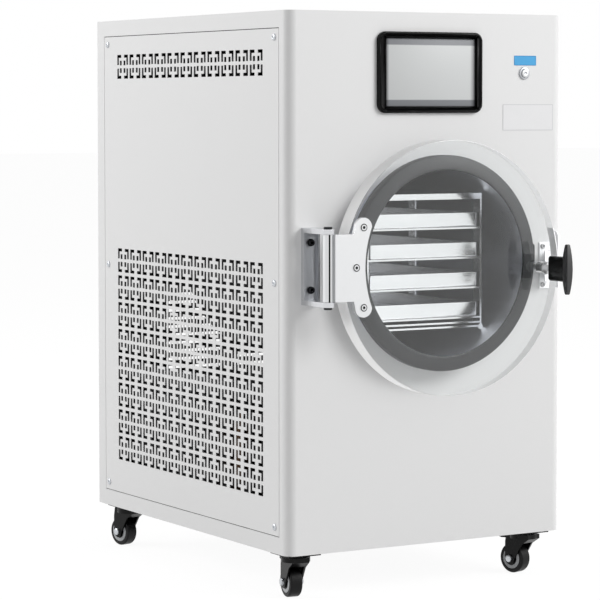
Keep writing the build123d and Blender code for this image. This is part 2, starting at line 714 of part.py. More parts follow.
def hinge_arm():
    """Door arm: a knuckle on the hinge pin, and a plate that widens into two lobes."""
    half = HINGE_HALF_HEIGHT - FIT
    lobe_z = LOBE_SPAN / 2
    plate_left = HINGE_X + KNUCKLE_RADIUS - ARM_ROOT
    plate_front = DOOR_FRONT - ARM_THICKNESS
    outline = Polyline(
        (plate_left, half),
        (ARM_SHOULDER_X, half),
        (LOBE_X - LOBE_RADIUS, lobe_z),
        (LOBE_X + LOBE_RADIUS, lobe_z),
        (LOBE_X + LOBE_RADIUS, -lobe_z),
        (LOBE_X - LOBE_RADIUS, -lobe_z),
        (ARM_SHOULDER_X, -half),
        (plate_left, -half),
        close=True,
    )
    plate = Pos(0, CHAMBER_Z) * make_face(outline)
    for up in (-1, 1):
        plate += Pos(LOBE_X, CHAMBER_Z + up * lobe_z) * Circle(LOBE_RADIUS)
    plate -= Pos(0, CHAMBER_Z) * Circle(ARM_CONCAVE_RADIUS)
    arm = front_profile(plate, DOOR_FRONT, plate_front)
    for x, z in arm_screw_places():
        arm -= rod_y(ARM_SCREW_RADIUS, DOOR_FRONT + CUT, plate_front - CUT, x, z)
    z0 = CHAMBER_Z - half
    z1 = CHAMBER_Z + half
    web_right = HINGE_X + KNUCKLE_RADIUS + ARM_THICKNESS
    arm += block(plate_left, web_right, HINGE_Y, plate_front, z0, z1)
    arm += block(HINGE_X, plate_left, HINGE_Y, HINGE_Y - ARM_THICKNESS, z0, z1)
    arm += rod_z(KNUCKLE_RADIUS, z0, z1, HINGE_X, HINGE_Y)
    return arm - rod_z(HINGE_PIN_RADIUS + RUNNING_FIT, z0, z1, HINGE_X, HINGE_Y)


def socket_screw_y(x, y_seat, z, head_radius, head, shank_radius, shank):
    """A socket screw along Y whose head stands forward of its seat."""
    screw = rod_y(head_radius, y_seat, y_seat - head, x, z)
    screw += rod_y(shank_radius, y_seat, y_seat + shank, x, z)
    hexagon = Pos(x, z) * RegularPolygon(head_radius * 0.5, 6)
    return screw - front_profile(hexagon, y_seat - head / 3, y_seat - head)


def arm_screws():
    """Three low-head socket screws of the door arm."""
    seat = DOOR_FRONT - ARM_THICKNESS
    shank = ARM_THICKNESS + ARM_SCREW_DEPTH
    return Compound([
        socket_screw_y(x, seat, z, ARM_SCREW_HEAD_RADIUS, ARM_SCREW_HEAD, ARM_SCREW_RADIUS, shank)
        for x, z in arm_screw_places()
    ])


def hinge_bracket():
    """Cabinet side of the hinge: a shallow channel with two ears that hold the pin."""
    left = BRACKET_X - BRACKET_WIDTH / 2
    right = BRACKET_X + BRACKET_WIDTH / 2
    half = HINGE_HALF_HEIGHT + BRACKET_FLANGE
    y_back = FRONT - BRACKET_BACK
    y_lip = y_back - BRACKET_LIP
    z0 = CHAMBER_Z - half
    z1 = CHAMBER_Z + half
    bracket = block(left, right, FRONT, y_back, z0, z1)
    bracket += block(left, left + BRACKET_LIP_WIDTH, y_back, y_lip, z0, z1)
    bracket += block(right - BRACKET_LIP_WIDTH, right, y_back, y_lip, z0, z1)
    nose_left = HINGE_X - BRACKET_NOSE_RADIUS
    nose_right = HINGE_X + BRACKET_NOSE_RADIUS
    cheek_y = FRONT - BRACKET_CHEEK
    ear = make_face(Polyline((left, FRONT), (right, FRONT), (right, cheek_y),
                             (nose_right, HINGE_Y), (nose_left, HINGE_Y), (left, cheek_y), close=True))
    ear += Pos(HINGE_X, HINGE_Y) * Circle(BRACKET_NOSE_RADIUS)
    ear -= Pos(HINGE_X, HINGE_Y) * Circle(HINGE_PIN_RADIUS)
    for z in (CHAMBER_Z + HINGE_HALF_HEIGHT, z0):
        bracket += Pos(0, 0, z) * extrude(ear, BRACKET_FLANGE)
    for x, z in bracket_bolt_places():
        bracket -= rod_y(BRACKET_BOLT_RADIUS, FRONT + CUT, y_back - CUT, x, z)
    return bracket


def bracket_bolt_places():
    """X and Z of the two bolts of the hinge bracket."""
    return [(BRACKET_X, CHAMBER_Z + up * BRACKET_BOLT_SPAN / 2) for up in (-1, 1)]


def hinge_bolts():
    """Two socket bolts through the bracket into the front panel."""
    seat = FRONT - BRACKET_BACK
    return Compound([
        socket_screw_y(x, seat, z, BRACKET_BOLT_HEAD_RADIUS, BRACKET_BOLT_HEAD,
                       BRACKET_BOLT_RADIUS, BRACKET_BACK)
        for x, z in bracket_bolt_places()
    ])


def hinge_pin():
    """Pin pressed through both ears, with a round head at each end."""
    half = HINGE_HALF_HEIGHT + BRACKET_FLANGE
    pin = rod_z(HINGE_PIN_RADIUS, CHAMBER_Z - half, CHAMBER_Z + half, HINGE_X, HINGE_Y)
    for up in (-1, 1):
        z = CHAMBER_Z + up * half
        pin += rod_z(HINGE_PIN_HEAD_RADIUS, z, z + up * HINGE_PIN_HEAD, HINGE_X, HINGE_Y)
    return pin


def latch_bush():
    """Flanged bush in the door that the latch spindle turns in."""
    flange_front = DOOR_FRONT - BUSH_FLANGE
    bush = rod_y(BUSH_RADIUS, DOOR_BACK, DOOR_FRONT, LATCH_X, LATCH_Z)
    bush += rod_y(BUSH_RADIUS + BUSH_FLANGE_LAP, DOOR_FRONT, flange_front, LATCH_X, LATCH_Z)
    bore = SPINDLE_RADIUS + RUNNING_FIT
    return bush - rod_y(bore, DOOR_BACK + CUT, flange_front - CUT, LATCH_X, LATCH_Z)


def latch_spindle():
    """Spindle through the door with the dog that hooks behind the keeper."""
    dog_back = FRONT - DOG_STANDOFF
    dog_front = dog_back - DOG_THICKNESS
    spindle = rod_y(SPINDLE_RADIUS, dog_back, KNOB_BACK, LATCH_X, LATCH_Z)
    dog = Circle(DOG_WIDTH / 2) + Pos(0, DOG_LENGTH / 2) * Rectangle(DOG_WIDTH, DOG_LENGTH)
    tips = dog.vertices().group_by(Axis.Y)[-1]
    dog = Pos(LATCH_X, LATCH_Z) * fillet(tips, DOG_TIP_RADIUS)
    return spindle + front_profile(dog, dog_back, dog_front)


def knob():
    """T-shaped handle: an oblong stem that carries a tapered cross bar."""
    stem_outline = RectangleRounded(KNOB_STEM_WIDTH, KNOB_STEM_HEIGHT, KNOB_STEM_CORNER)
    handle = front_profile(Pos(LATCH_X, LATCH_Z) * stem_outline, KNOB_BACK, KNOB_BAR_BACK - CUT)
    bar_y = (KNOB_BAR_BACK + KNOB_BAR_FRONT) / 2
    middle_outline = Rectangle(KNOB_STEM_WIDTH - CUT, KNOB_BAR_DEPTH)
    middle_outline = chamfer(middle_outline.vertices(), KNOB_BAR_CORNER)
    middle = Plane(origin=(LATCH_X, bar_y, LATCH_Z)) * middle_outline
    tip_outline = Rectangle(KNOB_TIP_WIDTH, KNOB_TIP_DEPTH)
    tip_outline = chamfer(tip_outline.vertices(), KNOB_TIP_CORNER)
    for up in (-1, 1):
        tip = Plane(origin=(LATCH_X, bar_y, LATCH_Z + up * KNOB_BAR_LENGTH / 2)) * tip_outline
        handle += loft([middle, tip], ruled=True)
    return handle


def latch_keeper():
    """Bent strike plate on the cabinet: a raised lip for the dog and a side tab."""
    left = KEEPER_X - KEEPER_WIDTH / 2
    right = KEEPER_X + KEEPER_WIDTH / 2
    z0 = LATCH_Z - KEEPER_HEIGHT / 2
    z1 = LATCH_Z + KEEPER_HEIGHT / 2
    lip_z0 = LATCH_Z - KEEPER_LIP_HEIGHT / 2
    lip_z1 = LATCH_Z + KEEPER_LIP_HEIGHT / 2
    face = FRONT - KEEPER_SHEET
    lip_back = FRONT - KEEPER_LIP_STANDOFF
    lip_front = lip_back - KEEPER_SHEET
    wall_x = KEEPER_LIP_X + KEEPER_LIP_WIDTH
    keeper = block(left, right, FRONT, face, z0, z1)
    keeper += block(wall_x, wall_x + KEEPER_SHEET, face, lip_front, lip_z0, lip_z1)
    keeper += block(KEEPER_LIP_X, wall_x, lip_back, lip_front, lip_z0, lip_z1)
    tab = block(right - KEEPER_SHEET, right, FRONT, FRONT - KEEPER_TAB_DEPTH, z0, LATCH_Z + KEEPER_TAB_TOP)
    tab_corner = tab.edges().filter_by(Axis.X).group_by(Axis.Z)[-1].sort_by(Axis.Y)[0]
    keeper += fillet(tab_corner, KEEPER_TAB_CORNER)
    for x, z in keeper_screw_places():
        keeper -= rod_y(KEEPER_SCREW_SHANK, FRONT + CUT, face - CUT, x, z)
    return keeper


def keeper_screw_places():
    """X and Z of the two screws of the latch keeper."""
    reach = KEEPER_HEIGHT / 2 - KEEPER_SCREW_INSET
    return [(KEEPER_X - KEEPER_SCREW_OFFSET, LATCH_Z + up * reach) for up in (-1, 1)]


def keeper_screws():
    """Two screws of the latch keeper."""
    seat = FRONT - KEEPER_SHEET
    return Compound([
        socket_screw_y(x, seat, z, KEEPER_SCREW_HEAD_RADIUS, KEEPER_SCREW_HEAD,
                       KEEPER_SCREW_SHANK, KEEPER_SHEET)
        for x, z in keeper_screw_places()
    ])


def rim_guard():
    """Thin strip bent round the door's rim above the latch."""
    outer = DOOR_RADIUS + GUARD_THICKNESS
    wedge_points = [(0, 0)]
    for angle in (GUARD_START, GUARD_START + GUARD_SWEEP):
        turn = math.radians(angle)
        wedge_points.append((2 * outer * math.cos(turn), 2 * outer * math.sin(turn)))
    strip = Circle(outer) - Circle(DOOR_RADIUS)
    strip &= make_face(Polyline(*wedge_points, close=True))
    return front_profile(Pos(0, DOOR_Z) * strip, DOOR_BACK - DOOR_CHAMFER, DOOR_FRONT + DOOR_CHAMFER)


def display_bezel():
    """Moulded frame round the display."""
    frame = RectangleRounded(BEZEL_WIDTH, BEZEL_HEIGHT, BEZEL_CORNER)
    frame = Pos(0, CONTROLS_Z) * (frame - Rectangle(SCREEN_WIDTH, SCREEN_HEIGHT))
    bezel = front_profile(frame, FRONT, FRONT - BEZEL_THICKNESS)
    outer = bezel.faces().sort_by(Axis.Y)[0].outer_wire().edges()
    return chamfer(outer, BEZEL_EDGE)


def display_glass():
    """Cover glass of the display."""
    front = FRONT - BEZEL_THICKNESS + SCREEN_RECESS
    glass = Pos(0, CONTROLS_Z) * Rectangle(SCREEN_WIDTH, SCREEN_HEIGHT)
    return front_profile(glass, front + GLASS_THICKNESS, front)


def display_board():
    """Display module behind the glass, on a board with four spacers."""
    module_front = FRONT - BEZEL_THICKNESS + SCREEN_RECESS + GLASS_THICKNESS
    board_y = FRONT + BOARD_STANDOFF
    half_w = SCREEN_WIDTH / 2 - MODULE_FIT
    half_h = SCREEN_HEIGHT / 2 - MODULE_FIT
    module = block(-half_w, half_w, board_y, module_front, CONTROLS_Z - half_h, CONTROLS_Z + half_h)
    board_half_w = SCREEN_WIDTH / 2 + BOARD_OVERLAP
    board_half_h = SCREEN_HEIGHT / 2 + BOARD_OVERLAP
    module += block(-board_half_w, board_half_w, board_y, board_y + BOARD_THICKNESS,
                    CONTROLS_Z - board_half_h, CONTROLS_Z + board_half_h)
    for across in (-1, 1):
        for up in (-1, 1):
            x = across * (board_half_w - SPACER_INSET)
            z = CONTROLS_Z + up * (board_half_h - SPACER_INSET)
            module += rod_y(SPACER_RADIUS, board_y, FRONT + SHEET, x, z)
    return module


def button_housing():
    """Round metal ring and threaded barrel of the power button."""
    ring_front = FRONT - BUTTON_RING_DEPTH
    housing = rod_y(BUTTON_RING_RADIUS, FRONT, ring_front, BUTTON_X, CONTROLS_Z)
    housing = chamfer(housing.edges().sort_by(Axis.Y)[0], BUTTON_RING_EDGE)
    housing += rod_y(BUTTON_BARREL_RADIUS, FRONT + BUTTON_BARREL_LENGTH, FRONT, BUTTON_X, CONTROLS_Z)
    bore = BUTTON_CAP_RADIUS + FIT
    return housing - rod_y(bore, FRONT + BUTTON_BORE_DEPTH, ring_front - CUT, BUTTON_X, CONTROLS_Z)


def power_button():
    """Cap of the power button."""
    cap_front = FRONT - BUTTON_RING_DEPTH - BUTTON_TRAVEL
    cap = rod_y(BUTTON_CAP_RADIUS, FRONT + BUTTON_CAP_DEPTH, cap_front, BUTTON_X, CONTROLS_Z)
    return chamfer(cap.edges().sort_by(Axis.Y)[0], BUTTON_CAP_EDGE)


def tray_bottom_z(index):
    """Height of the underside of one tray, counted from the top."""
    return RACK_TOP - FIRST_TRAY_DROP - index * TRAY_PITCH


def tray_rack():
    """Welded rack: folded top, a shelf under each tray, a flat box base, posts and feet."""
    half = RACK_WIDTH / 2
    t = SHELF_THICKNESS
    base_top = RACK_BOTTOM + RACK_BASE_HEIGHT
    rack = block(-half, half, RACK_FRONT, RACK_BACK, RACK_TOP - t, RACK_TOP)
    rack += block(-half, half, RACK_FRONT, RACK_FRONT + t, RACK_TOP - RACK_FRONT_LIP, RACK_TOP)
    rack += block(-half, half, RACK_FRONT, RACK_BACK, RACK_BOTTOM, base_top)
    rack -= block(-half + t, half - t, RACK_FRONT - CUT, RACK_BACK + CUT, RACK_BOTTOM + t, base_top - t)
    for index in range(TRAY_COUNT):
        z = tray_bottom_z(index)
        rack += block(-half, half, RACK_FRONT, RACK_BACK, z - t, z)
    middle = (RACK_FRONT + RACK_BACK - RACK_POST) / 2
    drop = math.sqrt((CHAMBER_RADIUS - RACK_FOOT_RADIUS) ** 2 - RACK_FOOT_X**2)
    for side in (-1, 1):
        for y in (RACK_FRONT, middle, RACK_BACK - RACK_POST):
            rack += block(side * (half - t), side * half, y, y + RACK_POST, RACK_BOTTOM, RACK_TOP)
        for y in (RACK_FRONT, RACK_BACK - RACK_FOOT_LENGTH):
            rack += rod_y(RACK_FOOT_RADIUS, y, y + RACK_FOOT_LENGTH, side * RACK_FOOT_X, CHAMBER_Z - drop)
    return rack


def tray(index):
    """Open pan that stands on one shelf of the rack."""
    half = TRAY_WIDTH / 2
    z = tray_bottom_z(index)
    front = RACK_FRONT + TRAY_SETBACK
    back = RACK_BACK - TRAY_BACK_ROOM
    pan = block(-half, half, front, back, z, z + TRAY_HEIGHT)
    pan = chamfer(pan.edges().group_by(Axis.Z)[0], TRAY_EDGE)
    wall = TRAY_WALL
    return pan - block(-half + wall, half - wall, front + wall, back - wall, z + 2 * wall, z + TRAY_HEIGHT)


def compressor():
    """Welded steel can of the refrigeration compressor on its foot plate."""
    foot_top = COMPRESSOR_BASE + COMPRESSOR_FOOT_THICKNESS
    can = rod_z(COMPRESSOR_RADIUS, foot_top, COMPRESSOR_TOP, COMPRESSOR_X, COMPRESSOR_Y)
    can = fillet(can.edges().sort_by(Axis.Z)[-1], COMPRESSOR_DOME)
    half_x = COMPRESSOR_FOOT_LENGTH / 2
    half_y = COMPRESSOR_FOOT_WIDTH / 2
    foot = block(COMPRESSOR_X - half_x, COMPRESSOR_X + half_x,
                 COMPRESSOR_Y - half_y, COMPRESSOR_Y + half_y, COMPRESSOR_BASE, foot_top)
    cover_x = COMPRESSOR_X - COMPRESSOR_RADIUS
    cover_z = COMPRESSOR_BASE + TERMINAL_COVER_LIFT
    cover_half = TERMINAL_COVER_WIDTH / 2
    cover = block(cover_x - TERMINAL_COVER_DEPTH, cover_x + TERMINAL_COVER_DEPTH,
                  COMPRESSOR_Y - cover_half, COMPRESSOR_Y + cover_half,
                  cover_z, cover_z + TERMINAL_COVER_HEIGHT)
    return can + foot + cover


def compressor_grommets():
    """Four rubber feet between the compressor and the floor."""
    feet = []
    for across in (-1, 1):
        for along in (-1, 1):
            x = COMPRESSOR_X + across * (COMPRESSOR_FOOT_LENGTH / 2 - GROMMET_INSET)
            y = COMPRESSOR_Y + along * (COMPRESSOR_FOOT_WIDTH / 2 - GROMMET_INSET)
            feet.append(rod_z(GROMMET_RADIUS, FLOOR_Z, COMPRESSOR_BASE, x, y))
    return Compound(feet)


def condenser():
    """Finned coil behind the left vents: a sheet frame, a pack of fins and the tube ends."""
    inner_y0 = CONDENSER_Y0 + CONDENSER_PLATE
    inner_y1 = CONDENSER_Y1 - CONDENSER_PLATE
    inner_z0 = FLOOR_Z + CONDENSER_PLATE
    inner_z1 = CONDENSER_Z1 - CONDENSER_PLATE
    coil = block(CONDENSER_X0, CONDENSER_X1, CONDENSER_Y0, CONDENSER_Y1, FLOOR_Z, CONDENSER_Z1)
    coil -= block(CONDENSER_X0 - CUT, CONDENSER_X1 + CUT, inner_y0, inner_y1, inner_z0, inner_z1)
    for i in range(1, int(CONDENSER_LENGTH / FIN_PITCH)):
        y = CONDENSER_Y0 + i * FIN_PITCH
        coil += block(CONDENSER_X0 + CONDENSER_PLATE, CONDENSER_X1 - CONDENSER_PLATE,
                      y, y + FIN_THICKNESS, inner_z0, inner_z1)
    row_pitch = CONDENSER_HEIGHT / COIL_ROWS
    for row in range(COIL_ROWS):
        z = FLOOR_Z + (row + 0.5) * row_pitch
        coil += rod_y(COIL_TUBE_RADIUS, CONDENSER_Y0 - COIL_TUBE_END, CONDENSER_Y0, CONDENSER_X, z)
        coil += rod_y(COIL_TUBE_RADIUS, CONDENSER_Y1, CONDENSER_Y1 + COIL_TUBE_END, CONDENSER_X, z)
    return coil


def fan_shroud():
    """Fan frame against the condenser, with the motor on a cross arm."""
    half = FAN_RADIUS + FAN_TIP_CLEARANCE + SHROUD_BORDER
    arm_half = SHROUD_ARM_HEIGHT / 2
    frame = block(CONDENSER_X1, SHROUD_BACK, FAN_Y - half, FAN_Y + half, FLOOR_Z, FAN_Z + half)
    frame -= rod_x(FAN_RADIUS + FAN_TIP_CLEARANCE, CONDENSER_X1 - CUT, SHROUD_BACK + CUT, FAN_Y, FAN_Z)
    frame += block(SHROUD_BACK, SHROUD_BACK + SHROUD_ARM_THICKNESS, FAN_Y - half, FAN_Y + half,
                   FAN_Z - arm_half, FAN_Z + arm_half)
    frame += rod_x(FAN_HUB_RADIUS, SHROUD_BACK, SHROUD_BACK + FAN_MOTOR_LENGTH, FAN_Y, FAN_Z)
    bore_end = SHROUD_BACK + FAN_SHAFT_ENGAGED + CUT
    return frame - rod_x(FAN_SHAFT_RADIUS + FIT, SHROUD_BACK - CUT, bore_end, FAN_Y, FAN_Z)


def fan_rotor():
    """Bladed fan on the motor shaft."""
    hub_x = CONDENSER_X1 + FAN_HUB_SETBACK
    hub_end = hub_x + FAN_HUB_DEPTH
    tip = FAN_RADIUS - CUT
    length = tip - FAN_BLADE_ROOT
    rotor = rod_x(FAN_HUB_RADIUS, hub_x, hub_end, FAN_Y, FAN_Z)
    flat_blade = Pos(0, 0, tip - length / 2) * Box(FAN_BLADE_THICKNESS, FAN_BLADE_WIDTH, length)
    blade = Pos(hub_x + FAN_HUB_DEPTH / 2, 0, 0) * Rot(0, 0, FAN_BLADE_PITCH) * flat_blade
    for i in range(FAN_BLADES):
        rotor += Pos(0, FAN_Y, FAN_Z) * Rot(360 / FAN_BLADES * i, 0, 0) * blade
    return rotor + rod_x(FAN_SHAFT_RADIUS, hub_end, SHROUD_BACK + FAN_SHAFT_ENGAGED, FAN_Y, FAN_Z)


def filter_dryer():
    """Copper filter dryer, strapped to the front edge of the condenser."""
    x = CONDENSER_X1 - DRYER_RADIUS - CUT
    y = CONDENSER_Y0 - DRYER_FROM_CONDENSER
    z0 = FLOOR_Z + DRYER_LIFT
    z1 = z0 + DRYER_LENGTH
    strap_z = z0 + DRYER_STUB
    body = rod_z(DRYER_RADIUS, z0, z1, x, y)
    body += rod_z(DRYER_STUB_RADIUS, z0 - DRYER_STUB, z1 + DRYER_STUB, x, y)
    return body + block(x + CUT, x + DRYER_RADIUS, y, CONDENSER_Y0, strap_z, strap_z + DRYER_STRAP_HEIGHT)


def tube(points, radius, bend):
    """A bent tube of round section along straight runs joined by arcs."""
    path = FilletPolyline(*points, radius=bend)
    start = Plane(origin=path @ 0, z_dir=path % 0)
    return sweep(start * Circle(radius), path=path)


def refrigerant_lines():
    """Copper lines: one from the compressor to the condenser, one back from the chamber."""
    top = COMPRESSOR_TOP - CONDENSER_DEPTH
    out = COMPRESSOR_RADIUS * math.sqrt(0.5)
    far = out + LINE_RUN_OUT
    line_z = CONDENSER_Z1 - CONDENSER_DEPTH
    discharge = tube([(COMPRESSOR_X - out, COMPRESSOR_Y + out, top),
                      (COMPRESSOR_X - far, COMPRESSOR_Y + far, top),
                      (COMPRESSOR_X - far - COMPRESSOR_RADIUS, COMPRESSOR_Y + far - LINE_BEND / 2, top),
                      (CONDENSER_X, CONDENSER_Y1 + 4 * LINE_BEND, line_z),
                      (CONDENSER_X, CONDENSER_Y1, line_z)], LINE_RADIUS, LINE_BEND)
    entry_y = CHAMBER_BACK_Y - SUCTION_FROM_BACK
    entry_z = CHAMBER_Z - math.sqrt(JACKET_RADIUS**2 - (SUCTION_X - LINE_RADIUS) ** 2)
    suction = tube([(COMPRESSOR_X + out, COMPRESSOR_Y - out, top),
                    (COMPRESSOR_X + far, COMPRESSOR_Y - far, top),
                    (COMPRESSOR_X + far, entry_y + LINE_BEND, top + 4 * LINE_BEND),
                    (SUCTION_X, entry_y, top + 6 * LINE_BEND),
                    (SUCTION_X, entry_y, entry_z)], LINE_RADIUS, LINE_BEND)
    return Compound([discharge, suction])


def electronics_shelf():
    """Sheet shelf over the chamber that carries the electronics."""
    y0 = WINDOW_Y - WINDOW_LENGTH / 2 + LEDGE_WIDTH / 2
    y1 = WINDOW_Y + WINDOW_LENGTH / 2 - LEDGE_WIDTH / 2
    shelf = block(-LEDGE_FACE, LEDGE_FACE, y0, y1, SHELF_Z, BOARD_Z)
    for side in (-1, 1):
        shelf += block(side * (LEDGE_FACE - SHEET), side * LEDGE_FACE, y0, y1,
                       SHELF_Z - ELECTRONICS_FLANGE, SHELF_Z)
    return shelf


def control_board():
    """Main control board on four spacers, with its relays and terminal blocks."""
    x0 = CONTROL_BOARD_X
    x1 = x0 + CONTROL_BOARD_WIDTH
    z0 = BOARD_Z + CONTROL_BOARD_LIFT
    z1 = z0 + BOARD_THICKNESS
    board = block(x0, x1, 0, CONTROL_BOARD_LENGTH, z0, z1)
    for x in (x0 + CONTROL_BOARD_LIFT, x1 - CONTROL_BOARD_LIFT):
        for y in (CONTROL_BOARD_LIFT, CONTROL_BOARD_LENGTH - CONTROL_BOARD_LIFT):
            board += rod_z(SPACER_RADIUS, BOARD_Z, z0, x, y)
    for i in range(RELAY_COUNT):
        relay_x = x0 + 2 * RELAY_WIDTH + i * RELAY_PITCH
        relay_y = CONTROL_BOARD_LENGTH - 2 * RELAY_WIDTH
        board += block(relay_x, relay_x + RELAY_WIDTH, relay_y, relay_y + RELAY_LENGTH, z1, z1 + RELAY_HEIGHT)
    strip_x = x0 + RELAY_LENGTH
    return board + block(strip_x, strip_x + TERMINAL_STRIP_LENGTH,
                         CONTROL_BOARD_LIFT, CONTROL_BOARD_LIFT + TERMINAL_STRIP_WIDTH,
                         z1, z1 + TERMINAL_STRIP_HEIGHT)


def power_supply():
    """Enclosed power supply."""
    x0 = -SIDE + SUPPLY_FROM_SIDE
    return block(x0, x0 + SUPPLY_WIDTH, 0, SUPPLY_LENGTH, BOARD_Z, BOARD_Z + SUPPLY_HEIGHT)


def vacuum_port():
    """Pipe from the chamber through the back, ending in a clamp flange."""
    end = BACK + PORT_STANDOFF
    flange = end - PORT_FLANGE_THICKNESS
    profile = [
        (PORT_BORE, CHAMBER_BACK_Y),
        (PORT_PIPE, CHAMBER_BACK_Y),
        (PORT_PIPE, flange - PORT_FLANGE_TAPER),
        (PORT_FLANGE, flange),
        (PORT_FLANGE, end),
        (PORT_BORE, end),
    ]
    return turned_y(profile, 0, PORT_Z)


def power_inlet():
    """Mains inlet with its recess and three pins."""
    half_w = INLET_WIDTH / 2
    half_h = INLET_HEIGHT / 2
    flange_w = INLET_FLANGE_WIDTH / 2
    flange_h = INLET_FLANGE_HEIGHT / 2
    face = BACK + INLET_FLANGE_THICKNESS
    recess = BACK - INLET_RECESS
    inlet = block(INLET_X - flange_w, INLET_X + flange_w, BACK, face, INLET_Z - flange_h, INLET_Z + flange_h)
    inlet += block(INLET_X - half_w, INLET_X + half_w, BACK - INLET_DEPTH, BACK,
                   INLET_Z - half_h, INLET_Z + half_h)
    inlet -= block(INLET_X - half_w + INLET_WALL, INLET_X + half_w - INLET_WALL, recess, face + CUT,
                   INLET_Z - half_h + INLET_WALL, INLET_Z + half_h - INLET_WALL)
    pin = Box(INLET_PIN_WIDTH, INLET_PIN_LENGTH, INLET_PIN_HEIGHT)
    for across in (-1, 0, 1):
        z = INLET_Z + INLET_PIN_WIDTH * (1 if across else -1)
        inlet += Pos(INLET_X + across * INLET_PIN_SPACING, recess + INLET_PIN_LENGTH / 2, z) * pin
    return inlet


def drain_line():
    """Tube from the chamber's floor to the drain valve."""
    contact_x = DRAIN_START_X - DRAIN_TUBE_RADIUS
    chamber_floor = CHAMBER_Z - math.sqrt(CHAMBER_OUTER**2 - contact_x**2)
    run_z = CHAMBER_Z - JACKET_RADIUS - DRAIN_RUN_BELOW_JACKET
    side_x = DRAIN_X + 3 * DRAIN_TUBE_BEND
    valve_y = BACK - SHEET
    turn_y = valve_y - 2 * DRAIN_TUBE_BEND
    return tube([(DRAIN_START_X, DRAIN_START_Y, chamber_floor),
                 (DRAIN_START_X, DRAIN_START_Y, run_z),
                 (side_x, DRAIN_START_Y, run_z),
                 (side_x, turn_y, DRAIN_Z + 4 * DRAIN_TUBE_BEND),
                 (DRAIN_X, turn_y, DRAIN_Z),
                 (DRAIN_X, valve_y, DRAIN_Z)], DRAIN_TUBE_RADIUS, DRAIN_TUBE_BEND)


def drain_valve():
    """Ball valve on the back panel with a hose tail."""
    inner = BACK - SHEET
    body_end = BACK + DRAIN_BODY_LENGTH
    tail_end = body_end + DRAIN_TAIL_LENGTH
    valve = rod_y(DRAIN_BODY_RADIUS, BACK, body_end, DRAIN_X, DRAIN_Z)
    valve += rod_y(DRAIN_NECK_RADIUS, inner, BACK, DRAIN_X, DRAIN_Z)
    valve += rod_y(DRAIN_TAIL_RADIUS, body_end, tail_end, DRAIN_X, DRAIN_Z)
    valve += rod_z(DRAIN_STEM_RADIUS, DRAIN_Z, DRAIN_Z + DRAIN_STEM_HEIGHT,
                   DRAIN_X, BACK + DRAIN_BODY_LENGTH / 2)
    return valve - rod_y(DRAIN_BORE_RADIUS, inner - CUT, tail_end + CUT, DRAIN_X, DRAIN_Z)


def drain_lever():
    """Handle of the drain valve."""
    z = DRAIN_Z + DRAIN_STEM_HEIGHT + FIT
    y = BACK + DRAIN_BODY_LENGTH / 2
    half = DRAIN_LEVER_WIDTH / 2
    x0 = DRAIN_X - DRAIN_STEM_RADIUS
    lever = block(x0, x0 + DRAIN_LEVER_LENGTH, y - half, y + half, z, z + DRAIN_LEVER_THICKNESS)
    return fillet(lever.edges().filter_by(Axis.Z), half - CUT)


def caster_plates():
    """Four square top plates with slotted holes, each with its bearing ring."""
    plates = []
    slot = CASTER_PLATE / 2 - CASTER_SLOT_INSET
    for x, y, _ in CASTERS.values():
        plate = Box(CASTER_PLATE, CASTER_PLATE, CASTER_PLATE_THICKNESS)
        for across in (-slot, slot):
            for along in (-slot, slot):
                plate -= Pos(across, along, 0) * Box(CASTER_SLOT_LENGTH, CASTER_SLOT_WIDTH, CASTER_PLATE)
        plate = Pos(x, y, PLATE_Z + CASTER_PLATE_THICKNESS / 2) * plate
        plates.append(plate + rod_z(CASTER_RACE_RADIUS, FORK_TOP_Z + FIT, PLATE_Z, x, y))
    return Compound(plates)


def fork_side_outline():
    """Side view of the fork in its rolling direction, trailing towards +X."""
    crown_bottom = FORK_TOP_Z - FORK_CROWN_DEPTH
    crown_end = WHEEL_TRAIL + FORK_CHEEK_RADIUS
    outline = make_face(Polyline(
        (-FORK_CROWN_RADIUS + CUT, crown_bottom), (-FORK_CROWN_RADIUS + CUT, FORK_TOP_Z),
        (crown_end - 2 * CUT, FORK_TOP_Z), (crown_end, crown_bottom - FORK_CROWN_DEPTH),
        (crown_end, WHEEL_RADIUS), (WHEEL_TRAIL - FORK_CHEEK_RADIUS, WHEEL_RADIUS),
        (-FORK_CROWN_DEPTH, crown_bottom - FORK_CHEEK_RADIUS), close=True))
    return outline + Pos(WHEEL_TRAIL, WHEEL_RADIUS) * Circle(FORK_CHEEK_RADIUS)


def fork_extrusion(outline, half):
    """An outline in trail and height, given width about the rolling plane."""
    plane = Plane(origin=(half, 0, 0), x_dir=(0, -1, 0), z_dir=(-1, 0, 0))
    return extrude(plane * outline, 2 * half)


